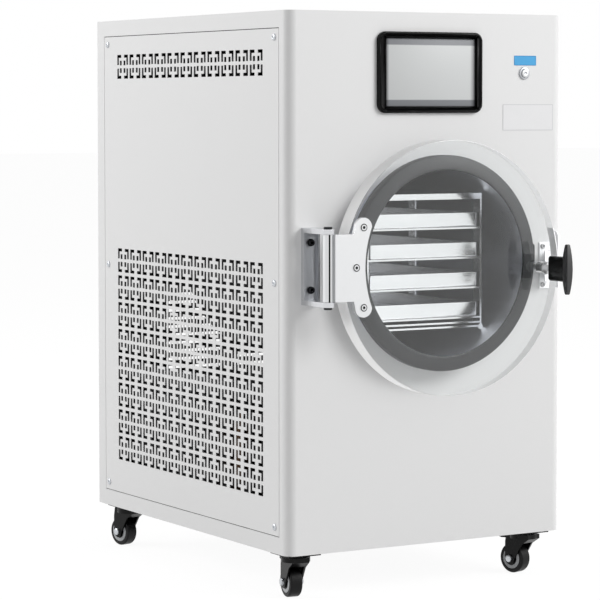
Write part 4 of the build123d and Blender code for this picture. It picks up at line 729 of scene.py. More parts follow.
def clear_picks(piece: bpy.types.Object, kind: str) -> None:
    """Deselect all of a piece's mesh, so that its faces or edges can be picked in object mode.

    Args:
        piece: the piece.
        kind: "FACE" or "EDGE".
    """
    activate(piece)
    bpy.ops.object.mode_set(mode="EDIT")
    bpy.ops.mesh.select_mode(type=kind)
    bpy.ops.mesh.select_all(action="DESELECT")
    object_mode()


def pick_faces(piece: bpy.types.Object, test: Test) -> None:
    """Enter edit mode with some faces selected.

    Args:
        piece: the piece.
        test: says for a face's centre and normal whether it is picked.
    """
    clear_picks(piece, "FACE")
    for face in piece.data.polygons:
        face.select = test(face.center, face.normal)
    bpy.ops.object.mode_set(mode="EDIT")


def pick_edges(piece: bpy.types.Object, test: Test) -> None:
    """Enter edit mode with some edges selected.

    Args:
        piece: the piece.
        test: says for an edge's two ends whether it is picked.
    """
    clear_picks(piece, "EDGE")
    points = piece.data.vertices
    for edge in piece.data.edges:
        first, second = (points[i].co for i in edge.vertices)
        edge.select = test(first, second)
    bpy.ops.object.mode_set(mode="EDIT")


def bevel_edges(piece: bpy.types.Object, test: Test, width_mm: float, segments: int) -> None:
    """Round some edges of a piece.

    Args:
        piece: the piece.
        test: says for an edge's two ends whether it is rounded.
        width_mm: width of the rounding.
        segments: faces across it.
    """
    pick_edges(piece, test)
    bpy.ops.mesh.bevel(offset=width_mm * MM, segments=segments)
    object_mode()


def stretch(piece: bpy.types.Object, axis: int, line: float, reach: float) -> None:
    """Draw out the edges that lie on a line.

    Args:
        piece: the piece.
        axis: the number of the axis along which they are drawn.
        line: where the edges lie on that axis.
        reach: how far they are drawn out.
    """
    pick_edges(piece, lambda a, b: abs(a[axis] - line) < TOUCH and abs(b[axis] - line) < TOUCH)
    move = [0.0, 0.0, 0.0]
    move[axis] = reach
    bpy.ops.mesh.extrude_edges_move(TRANSFORM_OT_translate={"value": move})
    object_mode()


def along_y(first: Vector, second: Vector) -> bool:
    """Whether an edge runs front to back rather than in the front's plane."""
    return abs(first.y - second.y) > TOUCH


def middle(node: str) -> Vector:
    """Centre of a CAD node's box."""
    low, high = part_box(node)
    return (low + high) / 2


def cad_copy(node: str, name: str, bevel_mm: float = 0.4, segments: int = 2) -> bpy.types.Object:
    """Copy a CAD node, merge its loose triangles and round its edges; the copy stands for the node.

    Args:
        node: the CAD node's name.
        name: the copy's name.
        bevel_mm: width of the rounded edges.
        segments: faces across each rounded edge.

    Returns:
        The finished copy.
    """
    piece = copied(frame["nodes"][node], name)
    piece.parent = None
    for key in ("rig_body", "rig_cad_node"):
        if key in piece:
            del piece[key]
    piece.hide_render = False
    activate(piece)
    bpy.ops.object.mode_set(mode="EDIT")
    tidy_shell()
    bpy.ops.mesh.dissolve_limited(angle_limit=math.radians(0.5))
    object_mode()
    soften(piece, bevel_mm, segments)
    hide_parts(node)
    return piece


def place(piece: bpy.types.Object, body: str, finish: Surface, *replaced: str,
          slot: str | None = None) -> bpy.types.Object:
    """Dress a finished piece, fix it to its body and report it.

    Args:
        piece: the piece, with its place in its mesh.
        body: the CAD body that it moves with.
        finish: its finish.
        replaced: the CAD nodes that it stands for.
        slot: the record's material slot for the piece; not used.

    Returns:
        The piece.
    """
    piece.data.materials.clear()
    piece.data.materials.append(finish.material())
    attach(piece, body)
    if replaced:
        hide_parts(*replaced)
    LOG.info("%s: %d faces on %s", piece.name, len(piece.data.polygons), body)
    return piece


def coat_faces(piece: bpy.types.Object, finish: Surface, test: Test) -> None:
    """Give some faces of a piece a further finish of their own.

    Args:
        piece: the piece.
        finish: the further finish.
        test: says for a face's centre and normal whether it gets it.
    """
    piece.data.materials.append(finish.material())
    pick_faces(piece, test)
    piece.active_material_index = len(piece.data.materials) - 1
    bpy.ops.object.material_slot_assign()
    object_mode()


# ---------------------------------------------------------------- cabinet


@dataclass(frozen=True)
class BlankPlate:
    """A thin plate or label on the front, without its print; its place counts from the cabinet's top."""

    name: str
    left_mm: float
    right_mm: float
    below_top_mm: float
    height_mm: float
    finish: Finish
    border: Finish


@dataclass
class Cabinet:
    """Folded sheet casing: wrap, lid, floor and back, with the blank plates on its front."""

    bend_mm: float = 0.6
    sheet_mm: float = 1.2
    plate_thickness_mm: float = 0.3
    plate_border_mm: float = 0.9
    plate_corner_mm: float = 0.8
    plates: tuple[BlankPlate, ...] = (
        BlankPlate("blue_plate_blank", 135.5, 171.5, 55.0, 13.0, BLUE_PLATE, BLUE_BORDER),
        BlankPlate("pale_label_blank", 117.5, 199.5, 120.0, 35.0, VINYL, VINYL_BORDER))

    def shells(self) -> None:
        """Round the folds of the casing's sheets and coat them white outside, with painted shade in dark grey
        inside.
        """
        low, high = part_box("cabinet_wrap")
        core = (low + high) / 2
        reach = (high - low) / 2 - Vector((self.sheet_mm * MM,) * 3)

        def faces_in(centre: Vector, normal: Vector) -> bool:
            """Whether a face lies inside the sheets and looks towards the middle.

            Args:
                centre: the face's centre.
                normal: the face's normal.

            Returns:
                True for a face of the inner skin.
            """
            offset = centre - core
            within = all(abs(offset[axis]) < reach[axis] for axis in range(3))
            return within and normal.dot(offset) < 0

        for node in ("cabinet_wrap", "top_panel", "base_pan", "back_panel"):
            piece = cad_copy(node, f"{node}_coated", self.bend_mm)
            place(piece, "cabinet", POWDER_COAT, slot="white_powder_coat")
            # Dark grey on the inner faces is painted shade for the inside seen through the vents.
            coat_faces(piece, INNER_SHADE, faces_in)

    def stick(self, plate: BlankPlate) -> None:
        """Stick one plate on the front: rounded corners, and a border in a finish of its own.

        Args:
            plate: the plate.
        """
        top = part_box("top_panel")[1].z
        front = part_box("cabinet_wrap")[0].y
        border = self.plate_border_mm * MM
        foot = top - (plate.below_top_mm + plate.height_mm) * MM
        piece = block(plate.name, (plate.left_mm * MM, front - self.plate_thickness_mm * MM, foot),
                      (plate.right_mm * MM, front, top - plate.below_top_mm * MM))
        bevel_edges(piece, along_y, self.plate_corner_mm, segments=3)
        pick_faces(piece, lambda _, normal: normal.y < -FACING)
        bpy.ops.mesh.inset(thickness=border)
        object_mode()
        place(piece, "cabinet", plate.finish)
        middle_x = (plate.left_mm + plate.right_mm) / 2 * MM
        middle_z = top - (plate.below_top_mm + plate.height_mm / 2) * MM
        inside_x = (plate.right_mm - plate.left_mm) / 2 * MM - border
        inside_z = plate.height_mm / 2 * MM - border
        coat_faces(piece, plate.border, lambda centre, _: abs(centre.x - middle_x) > inside_x
                   or abs(centre.z - middle_z) > inside_z)

    def build(self) -> None:
        """Build the casing."""
        self.shells()
        for plate in self.plates:
            self.stick(plate)


@dataclass
class VentedPanel:
    """Side access panel: sheet punched with cells of four corner slots round four short slots."""

    side: Side
    pitch_mm: float = 38.6
    corner_mm: float = 17.0
    level_end_mm: float = 4.2
    upright_end_mm: float = 2.5
    slot_mm: float = 4.3
    upright_slot_mm: float = 5.2
    short_slot_x_mm: tuple[float, float] = (2.8, 8.8)
    short_slot_z_mm: tuple[float, float] = (2.0, 8.8)
    sheet_mm: float = 0.8
    gap_shade_lap_mm: float = 3.0
    gap_shade_thickness_mm: float = 0.4
    gap_mm: float = 1.0
    columns: int = 11
    rows: int = 8
    grid_below_top_mm: float = 477.5
    row_below_top_mm: float = 66.0

    def is_slot(self, x: float, y: float) -> bool:
        """Whether a point of the cell is punched out.

        Args:
            x: millimetres across from the cell's middle.
            y: millimetres up from it.

        Returns:
            True inside one of the slots.
        """
        across, up = abs(x), abs(y)
        upright = self.corner_mm - self.upright_slot_mm
        level = self.corner_mm - self.slot_mm
        in_upright = upright < across < self.corner_mm and self.upright_end_mm < up < self.corner_mm
        in_level = level < up < self.corner_mm and self.level_end_mm < across < self.corner_mm
        in_short = (self.short_slot_x_mm[0] < across < self.short_slot_x_mm[1]
                    and self.short_slot_z_mm[0] < up < self.short_slot_z_mm[1])
        return in_upright or in_level or in_short

    def tile(self) -> bpy.types.Object:
        """Cut one cell of the pattern into a flat square.

        Returns:
            The cell, about the origin.
        """
        deselect()
        bpy.ops.mesh.primitive_plane_add(size=self.pitch_mm * MM)
        piece = named("vent_cell")
        upright, level = self.corner_mm - self.upright_slot_mm, self.corner_mm - self.slot_mm
        lines_x = {self.level_end_mm, upright, self.corner_mm, *self.short_slot_x_mm}
        lines_y = {self.upright_end_mm, level, self.corner_mm, *self.short_slot_z_mm}
        bpy.ops.object.mode_set(mode="EDIT")
        for normal, lines in (((1, 0, 0), lines_x), ((0, 1, 0), lines_y)):
            for line in sorted({sign * value for value in lines for sign in (-1, 1)}):
                bpy.ops.mesh.select_all(action="SELECT")
                bpy.ops.mesh.bisect(plane_co=Vector(normal) * line * MM, plane_no=normal)
        object_mode()
        pick_faces(piece, lambda centre, _: self.is_slot(centre.x / MM, centre.y / MM))
        bpy.ops.mesh.delete(type="FACE")
        object_mode()
        return piece

    def punched(self, low: Vector, high: Vector) -> bpy.types.Object:
        """Lay out the grid, the row above it and the plain sheet round them, flat on the floor's plane.

        Args:
            low: the CAD panel's lowest corner.
            high: its highest corner.

        Returns:
            The flat sheet, its length along X about the origin and its height along Y.
        """
        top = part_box("top_panel")[1].z
        pitch = self.pitch_mm * MM
        grid_z, row_z = top - self.grid_below_top_mm * MM, top - self.row_below_top_mm * MM
        line = self.tile()
        repeat(line, self.columns, (pitch, 0, 0))
        shifted(line, (-pitch * (self.columns - 1) / 2, 0, 0))
        row = copied(line, "vent_row")
        shifted(row, (0, row_z, 0))
        repeat(line, self.rows, (0, pitch, 0))
        shifted(line, (0, grid_z - pitch * (self.rows - 1) / 2, 0))
        piece = joined(f"{self.side.panel}_punched", (line, row))
        grid_top, grid_bottom = grid_z + pitch * self.rows / 2, grid_z - pitch * self.rows / 2
        row_top, row_bottom = row_z + pitch / 2, row_z - pitch / 2
        stretch(piece, 1, grid_top, row_bottom - grid_top)
        stretch(piece, 1, grid_bottom, low.z - grid_bottom)
        stretch(piece, 1, row_top, high.z - row_top)
        edit_all()
        bpy.ops.mesh.remove_doubles(threshold=TOUCH)
        object_mode()
        half, half_length = pitch * self.columns / 2, (high.y - low.y) / 2
        stretch(piece, 0, half, half_length - half)
        stretch(piece, 0, -half, half - half_length)
        bpy.ops.object.mode_set(mode="EDIT")
        tidy_shell()
        object_mode()
        return piece

    def gap_shade(self, low: Vector, high: Vector) -> None:
        """Lay a dark strip under the panel's edge: painted shade that darkens the gap round it.

        Args:
            low: the CAD panel's lowest corner.
            high: its highest corner.
        """
        gap, lap = self.gap_mm * MM, self.gap_shade_lap_mm * MM
        outer = self.side.outer(low, high) - self.side.value * gap
        inner = outer - self.side.value * self.gap_shade_thickness_mm * MM
        near, far = min(outer, inner), max(outer, inner)
        piece = block(f"{self.side.panel}_seal", (near, low.y - gap, low.z - gap),
                      (far, high.y + gap, high.z + gap))
        window = block("gap_shade_window", (near - gap, low.y + lap, low.z + lap),
                       (far + gap, high.y - lap, high.z - lap))
        # The dark strip is painted shade in the gap round the panel.
        place(carve(piece, window), "cabinet", FOAM_AND_SHADE)

    def build(self) -> None:
        """Stand the punched sheet up in the panel's place, coat it, paint shade on its inner face, and lay
        painted shade under its edge.
        """
        low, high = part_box(self.side.panel)
        sheet = self.sheet_mm * MM
        piece = self.punched(low, high)
        piece.rotation_euler = (math.pi / 2, 0, math.pi / 2)
        piece.location = (self.side.outer(low, high) - self.side.value * sheet / 2, (low.y + high.y) / 2, 0)
        settle(piece)
        apply_modifier(piece, "SOLIDIFY", thickness=sheet, offset=0)
        place(piece, "cabinet", POWDER_COAT, self.side.panel, slot="white_powder_coat")
        # Dark grey on the sheet's inner face is painted shade.
        coat_faces(piece, INNER_SHADE, lambda _, normal: normal.x * self.side.value < -FACING)
        self.gap_shade(low, high)


@dataclass
class Fasteners:
    """Screws of the casing: pan heads with a driver recess."""

    head_mm: float = 4.5
    height_mm: float = 2.2
    recess_mm: float = 1.5
    panel_inset_mm: float = 11.0

    def head(self, centre: Point, along: Point) -> bpy.types.Object:
        """Turn one pan head with its recess.

        Args:
            centre: where it seats.
            along: the way that it stands out.

        Returns:
            The head.
        """
        rim, crown, recess = self.head_mm * MM, self.height_mm * MM, self.recess_mm * MM
        profile = ((rim, 0), (rim, crown * 0.35), (rim * 0.93, crown * 0.65), (rim * 0.72, crown * 0.9),
                   (recess * 1.15, crown), (recess, crown * 0.93), (recess * 0.85, crown * 0.35))
        piece = turned("pan_head", centre, profile, segments=24, along=along, closed=False)
        return smooth(piece, degrees=50)

    def side_rows(self) -> None:
        """Six heads on each access panel, at its corners and half way up."""
        heads = []
        inset = self.panel_inset_mm * MM
        for side in Side:
            low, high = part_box(side.panel)
            for y in (low.y + inset, high.y - inset):
                for z in (low.z + inset, (low.z + high.z) / 2, high.z - inset):
                    heads.append(self.head((side.outer(low, high), y, z), (side.value, 0, 0)))
        screws = joined("side_screw_heads", heads)
        place(screws, "cabinet", ZINC_PLATE, "side_panel_screws", slot="screw_steel")

    def back_rows(self) -> None:
        """Three heads down each edge of the back."""
        low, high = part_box("cover_screws")
        inset = self.head_mm * MM
        heads = [self.head((x, low.y, z), (0, 1, 0))
                 for x in (low.x + inset, high.x - inset)
                 for z in (low.z + inset, (low.z + high.z) / 2, high.z - inset)]
        place(joined("back_screw_heads", heads), "cabinet", ZINC_PLATE, "cover_screws", slot="screw_steel")

    def build(self) -> None:
        """Build the casing's screws."""
        self.side_rows()
        self.back_rows()


@dataclass
class Controls:
    """Display with its bezel, and the power button; the button's sizes are radii and depths."""

    bezel_edge_mm: float = 0.9
    shade_band_mm: float = 1.8
    bezel_lit_tilt: float = 0.93
    screen_edge_mm: float = 0.6
    screen_field: str = "CFD1D1"
    screen_band: str = "84868A"
    ring_mm: float = 8.4
    ring_neck_mm: float = 8.0
    ring_depth_mm: float = 12.0
    ring_flange_mm: float = 2.0
    cap_mm: float = 5.4
    cap_depth_mm: float = 9.0
    cap_gap_mm: float = 0.3
    dimple_share: float = 0.34
    dimple_depth_mm: float = 1.0

    def bezel(self) -> None:
        """Bezel moulding: texture on the middle of its face, and a deeper black along both its edges and on
        its walls, painted shade.
        """
        piece = cad_copy("display_bezel", "display_bezel_moulded", self.bezel_edge_mm, segments=3)
        place(piece, "cabinet", MOULDED_ABS, slot="black_plastic")
        # The deeper black round the edges and on the walls is painted shade.
        piece.data.materials.append(SHADED_ABS.material())
        pick_faces(piece, lambda _, normal: normal.y < -self.bezel_lit_tilt)
        bpy.ops.mesh.inset(thickness=self.shade_band_mm * MM)
        bpy.ops.mesh.select_all(action="INVERT")
        piece.active_material_index = 1
        bpy.ops.object.material_slot_assign()
        object_mode()

    def screen(self) -> None:
        """Cover of the display, with a fine bevel round its front."""
        low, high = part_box("display_glass")
        piece = block("display_cover", low, high)
        bevel_edges(piece, lambda a, b: min(a.y, b.y) < low.y + TOUCH, self.screen_edge_mm, segments=2)
        face = ScreenFace("display_off", self.screen_field, self.screen_band, low, high)
        place(smooth(piece), "cabinet", face, "display_glass", slot="display_glass")

    def button_ring(self, centre: Point) -> None:
        """Turn the button's ring.

        Args:
            centre: the middle of its front.
        """
        rim, neck, bore = self.ring_mm * MM, self.ring_neck_mm * MM, (self.cap_mm + self.cap_gap_mm) * MM
        depth, flange = self.ring_depth_mm * MM, self.ring_flange_mm * MM
        profile = ((bore, depth), (neck, depth), (neck, flange), (rim, flange), (rim, 0.9 * MM),
                   (rim * 0.97, 0.35 * MM), (rim * 0.9, 0), (bore * 1.05, 0), (bore, 0.4 * MM))
        ring = smooth(turned("button_ring", centre, profile, segments=64))
        place(ring, "cabinet", CAST_ZINC_AND_SHADE, "button_housing", slot="chrome")

    def button_cap(self, centre: Point) -> None:
        """Turn the button's domed cap, with a dimple in its middle.

        Args:
            centre: the middle of its front.
        """
        cap = self.cap_mm * MM
        x, face, z = centre
        profile = ((cap, self.cap_depth_mm * MM), (cap, 1.2 * MM), (cap * 0.95, 0.45 * MM),
                   (cap * 0.86, 0.1 * MM), (cap * 0.5, 0), (cap * 0.36, 0.1 * MM), (cap * 0.3, 0.6 * MM),
                   (cap * 0.2, 0.7 * MM))
        piece = turned("button_cap", centre, profile, segments=64, closed=False)
        smooth(piece, degrees=50)
        place(piece, "power_button", SATIN_STAINLESS, "power_button", slot="stainless")
        dimple, floor = cap * self.dimple_share, face + self.dimple_depth_mm * MM
        coat_faces(piece, CAST_ZINC_AND_SHADE, lambda at, _: math.hypot(at.x - x, at.z - z) < dimple and at.y < floor)

    def build(self) -> None:
        """Build the display and the button."""
        self.bezel()
        self.screen()
        hole = middle("button_housing")
        self.button_ring((hole.x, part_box("button_housing")[0].y, hole.z))
        self.button_cap((hole.x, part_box("power_button")[0].y, hole.z))


# ---------------------------------------------------------------- chamber


@dataclass
class Chamber:
    """Vacuum chamber, its gasket, the rack and the trays; round parts are given by their radii."""

    bore_mm: float = 130.0
    shell_mm: float = 133.0
    ring_set_mm: float = 1.5
    ring_thickness_mm: float = 3.0
    end_plate_mm: float = 3.0
    end_corner_mm: float = 8.0
    end_corner_cut_mm: float = 2.4
    port_mm: float = 6.0
    gasket_lip_mm: float = 121.5
    gasket_bore_mm: float = 127.5
    gasket_seat_mm: float = 10.7
    rack_edge_mm: float = 0.5
    tray_count: int = 4
    tray_wall_mm: float = 1.2
    tray_floor_mm: float = 2.4
    tray_bend_mm: float = 2.2
    tray_edge_mm: float = 0.35

    def vessel(self) -> None:
        """Turned chamber with its welded front ring, its rounded far corner and the port in its end."""
        low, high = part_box("vacuum_chamber")
        centre = (0, low.y, middle("door_gasket").z)
        bore, shell, ring = self.bore_mm * MM, self.shell_mm * MM, (high.z - low.z) / 2
        depth, port = high.y - low.y, self.port_mm * MM
        floor = depth - self.end_plate_mm * MM
        corner, cut = self.end_corner_mm * MM, self.end_corner_cut_mm * MM
        ring_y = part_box("cabinet_wrap")[0].y + self.ring_set_mm * MM - low.y
        ring_back = ring_y + self.ring_thickness_mm * MM
        profile = ((shell, 0), (shell, ring_y), (ring, ring_y), (ring, ring_back), (shell, ring_back),
                   (shell, depth), (port, depth), (port, floor), (bore - corner, floor),
                   (bore - cut, floor - cut), (bore, floor - corner), (bore, 0))
        piece = turned("vacuum_chamber_rolled", centre, profile, segments=192)
        smooth(piece, degrees=40)
        place(piece, "cabinet", CHAMBER_STAINLESS, "vacuum_chamber", slot="stainless")

    def gasket(self) -> None:
        """Moulded ring: a soft lip, a sloping face that rises to its rim, and a seat on the chamber's end."""
        low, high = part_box("door_gasket")
        outer, back = (high.z - low.z) / 2, high.y - low.y
        lip, bore, shell = self.gasket_lip_mm * MM, self.gasket_bore_mm * MM, self.shell_mm * MM
        seat = self.gasket_seat_mm * MM
        skirt = ((shell, back), (outer - 0.6 * MM, back), (outer, back - 0.6 * MM))
        rim = ((outer, 3.4 * MM), (outer - 0.4 * MM, 2.5 * MM), (outer - 1.4 * MM, 1.9 * MM))
        soft_lip = ((lip + 3.4 * MM, 0.25 * MM), (lip + 1.4 * MM, 0), (lip + 0.4 * MM, 0.35 * MM),
                    (lip, 1.1 * MM), (lip + 0.5 * MM, 2.2 * MM))
        profile = skirt + rim + soft_lip + ((bore, seat), (shell, seat))
        centre = (0, low.y, (low.z + high.z) / 2)
        piece = smooth(turned("door_gasket_moulded", centre, profile, segments=192), degrees=60)
        place(piece, "cabinet", SILICONE, "door_gasket", slot="gasket_rubber")

    def tray(self, node: str) -> None:
        """Press one tray: an open pan with rounded folds.

        Args:
            node: the CAD node that it stands for.
        """
        low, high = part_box(node)
        piece = block(f"{node}_pressed", low, high)
        bevel_edges(piece, lambda a, b: max(a.z, b.z) < low.z + TOUCH or abs(a.z - b.z) > TOUCH,
                    self.tray_bend_mm, segments=4)
        pick_faces(piece, lambda _, normal: normal.z > FACING)
        bpy.ops.mesh.inset(thickness=self.tray_wall_mm * MM)
        depth = high.z - low.z - self.tray_floor_mm * MM
        bpy.ops.mesh.extrude_region_move(TRANSFORM_OT_translate={"value": (0, 0, -depth)})
        object_mode()
        soften(piece, self.tray_edge_mm, segments=2, degrees=50)
        place(piece, "cabinet", BRUSHED_STAINLESS, node, slot="stainless")

    def build(self) -> None:
        """Build the chamber and what it holds."""
        self.vessel()
        self.gasket()
        rack = cad_copy("tray_rack", "tray_rack_folded", self.rack_edge_mm)
        place(rack, "cabinet", BRUSHED_STAINLESS, slot="stainless")
        for number in range(1, self.tray_count + 1):
            self.tray(f"tray_{number}")


# ---------------------------------------------------------------- door


@dataclass
class ArmScrews:
    """The three screws that hold the disc to the arm, sunk nearly flush in it.

    Each has a collar, a groove round its head and a socket; groove and socket are painted dark as shade.
    Sizes are radii, then heights over the arm.
    """

    collar_mm: float = 5.2
    groove_mm: float = 4.9
    head_mm: float = 3.6
    socket_mm: float = 2.0
    shank_mm: float = 3.0
    collar_rise_mm: float = 0.6
    crown_mm: float = 1.0
    floor_mm: float = 0.15

    def places(self) -> tuple[tuple[float, float], ...]:
        """Find the three screws: two in the arm's lobes and one nearer the hinge.

        Returns:
            X and Z of each.
        """
        low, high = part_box("arm_screws")
        inset = self.collar_mm * MM
        near_x, far_x = low.x + inset, high.x - inset
        return (far_x, high.z - inset), (near_x, (low.z + high.z) / 2), (far_x, low.z + inset)

    def in_recess(self, at: Vector) -> bool:
        """Whether a face lies in a screw's socket or in the groove round its head.

        Args:
            at: the face's centre.

        Returns:
            True for a face in either.
        """
        socket, head, groove = self.socket_mm * MM, self.head_mm * MM, self.groove_mm * MM
        radii = [math.hypot(at.x - x, at.z - z) for x, z in self.places()]
        return any(radius < socket * 1.01 or head * 0.99 < radius < groove * 1.005 for radius in radii)

    def build(self) -> None:
        """Turn the screws and paint shade into their recesses."""
        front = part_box("hinge_arm")[0].y
        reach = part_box("arm_screws")[1].y - front
        collar, groove, head = self.collar_mm * MM, self.groove_mm * MM, self.head_mm * MM
        socket, shank = self.socket_mm * MM, self.shank_mm * MM
        rise, crown, floor = self.collar_rise_mm * MM, self.crown_mm * MM, self.floor_mm * MM
        profile = ((shank, reach), (shank, 0), (collar, 0), (collar, -rise), (groove, -rise),
                   (groove, -floor), (head, -floor), (head, -crown), (socket, -crown),
                   (socket * 0.95, -floor))
        heads = [turned("flush_head", (x, front, z), profile, segments=40, closed=False)
                 for x, z in self.places()]
        for head_piece in heads:
            smooth(head_piece, degrees=40)
        screws = place(joined("arm_screw_heads", heads), "door", SATIN_STAINLESS, "arm_screws",
                       slot="screw_steel")
        # Black in the grooves and sockets is painted shade.
        coat_faces(screws, BLACK_OXIDE_AND_SHADE, lambda at, _: at.y < front - floor / 2 and self.in_recess(at))


@dataclass
class Disc:
    """Clear disc of the door, bored for the latch's bush and the arm's screws; bores are radii."""

    rim_bevel_mm: float = 1.1
    rim_width_mm: float = 3.0
    rim_tilt: float = 0.95
    bush_bore_mm: float = 7.6
    screw_bore_mm: float = 3.05
    overrun_mm: float = 10.0

    def build(self) -> None:
        """Cut the disc, break its rims, bore it, and leave its edge sanded."""
        low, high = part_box("door_disc")
        x, z, radius = (low.x + high.x) / 2, (low.z + high.z) / 2, (high.x - low.x) / 2
        piece = rod("door_disc_polished", (x, high.y, z), (x, low.y, z), radius, segments=256)
        bevel_edges(piece, lambda a, b: not along_y(a, b), self.rim_bevel_mm, segments=3)
        bush = middle("latch_bush")
        front, back = low.y - self.overrun_mm * MM, high.y + self.overrun_mm * MM
        carve(piece, rod("bush_bore", (bush.x, back, bush.z), (bush.x, front, bush.z),
                         self.bush_bore_mm * MM, segments=64))
        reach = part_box("arm_screws")[1].y
        for at_x, at_z in ArmScrews().places():
            carve(piece, rod("screw_bore", (at_x, front, at_z), (at_x, reach, at_z),
                             self.screw_bore_mm * MM, segments=32))
        smooth(piece, degrees=30)
        apply_modifier(piece, "WEIGHTED_NORMAL", keep_sharp=True)
        place(piece, "door", ACRYLIC, "door_disc", slot="clear_acrylic")
        edge = radius - self.rim_width_mm * MM
        coat_faces(piece, ACRYLIC_RIM, lambda at, normal: abs(normal.y) < self.rim_tilt
                   and math.hypot(at.x - x, at.z - z) > edge)


def screw_pair(node: str, name: str, head_mm: float, height_mm: float, finish: Finish) -> None:
    """Turn two low heads with a round socket, one above the other, each with its shank.

    Args:
        node: the CAD node with the two screws.
        name: the piece's name.
        head_mm: radius of the heads.
        height_mm: their height.
        finish: their finish.
    """
    low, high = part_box(node)
    x, radius, height = (low.x + high.x) / 2, head_mm * MM, height_mm * MM
    seat, socket = low.y + height, radius * 0.45
    profile = ((radius * 0.5, high.y - seat), (radius * 0.5, 0), (radius, 0), (radius, -height * 0.55),
               (radius * 0.9, -height * 0.88), (radius * 0.74, -height), (socket * 1.15, -height),
               (socket, -height * 0.9), (socket * 0.92, -height * 0.3))
    heads = [turned("socket_head", (x, seat, z), profile, segments=32, closed=False)
             for z in (low.z + radius, high.z - radius)]
    for head in heads:
        smooth(head, degrees=45)
    place(joined(name, heads), "cabinet", finish, node, slot="screw_steel")


@dataclass
class Hinge:
    """Bracket, pin and arm of the hinge, with the bracket's bolts.

    The bracket's room, between its lips and flanges, is painted darker as shade. The arm has a seam where its
    plate folds round the pin, painted dark as shade.
    """

    bracket_edge_mm: float = 0.7
    bracket_lip_mm: float = 1.6
    bracket_flange_mm: float = 5.5
    bracket_base_mm: float = 4.0
    bracket_root_mm: float = 3.2
    pin_edge_mm: float = 0.8
    arm_edge_mm: float = 0.9
    knuckle_mm: float = 7.0
    seam_deg: float = 13.5
    seam_half_mm: float = 1.1
    seam_depth_mm: float = 1.8
    seam_clear_mm: float = 4.0
    seam_shade_mm: tuple[float, float] = (0.5, 2.0)
    bolt_head_mm: float = 4.8
    bolt_height_mm: float = 4.5

    def bracket(self) -> None:
        """Buffed bracket, with painted shade in its room."""
        piece = cad_copy("hinge_bracket", "hinge_bracket_plated", self.bracket_edge_mm, segments=3)
        place(piece, "cabinet", BUFFED_PLATE, slot="chrome")
        low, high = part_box("hinge_bracket")
        lip, flange = self.bracket_lip_mm * MM, self.bracket_flange_mm * MM
        floor = high.y - self.bracket_base_mm * MM - self.bracket_root_mm * MM
        # The darker grey in the room is painted shade.
        coat_faces(piece, CAST_ZINC_AND_SHADE, lambda at, _: low.x + lip < at.x < high.x - lip
                   and low.z + flange < at.z < high.z - flange and at.y > floor)

    def arm(self) -> None:
        """Cast arm with a seam in front of the pin, painted dark as shade."""
        piece = cad_copy("hinge_arm", "hinge_arm_cast", self.arm_edge_mm, segments=3)
        pin = middle("hinge_pin")
        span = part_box("hinge_bracket")[1].z - pin.z
        radius, seam, turn = self.knuckle_mm * MM, self.seam_half_mm * MM, math.radians(self.seam_deg)
        x, front = pin.x - radius * math.sin(turn), pin.y - radius * math.cos(turn)
        carve(piece, block("seam", (x - seam, front - self.seam_clear_mm * MM, pin.z - span),
                           (x + seam, front + self.seam_depth_mm * MM, pin.z + span)))
        place(smooth(piece), "door", SATIN_STAINLESS, slot="stainless")
        before, behind = (value * MM for value in self.seam_shade_mm)
        # Black in the seam is painted shade.
        coat_faces(piece, BLACK_OXIDE_AND_SHADE, lambda at, _: abs(at.x - x) < seam + TOUCH
                   and front - before < at.y < front + behind and abs(at.z - pin.z) < span)

    def build(self) -> None:
        """Build the hinge with its screws."""
        self.bracket()
        pin = cad_copy("hinge_pin", "hinge_pin_turned", self.pin_edge_mm, segments=3)
        place(pin, "cabinet", BLACK_OXIDE_AND_SHADE, slot="chrome")
        self.arm()
        ArmScrews().build()
        screw_pair("hinge_bolts", "hinge_bolt_heads", self.bolt_head_mm, self.bolt_height_mm, BLACK_OXIDE_AND_SHADE)


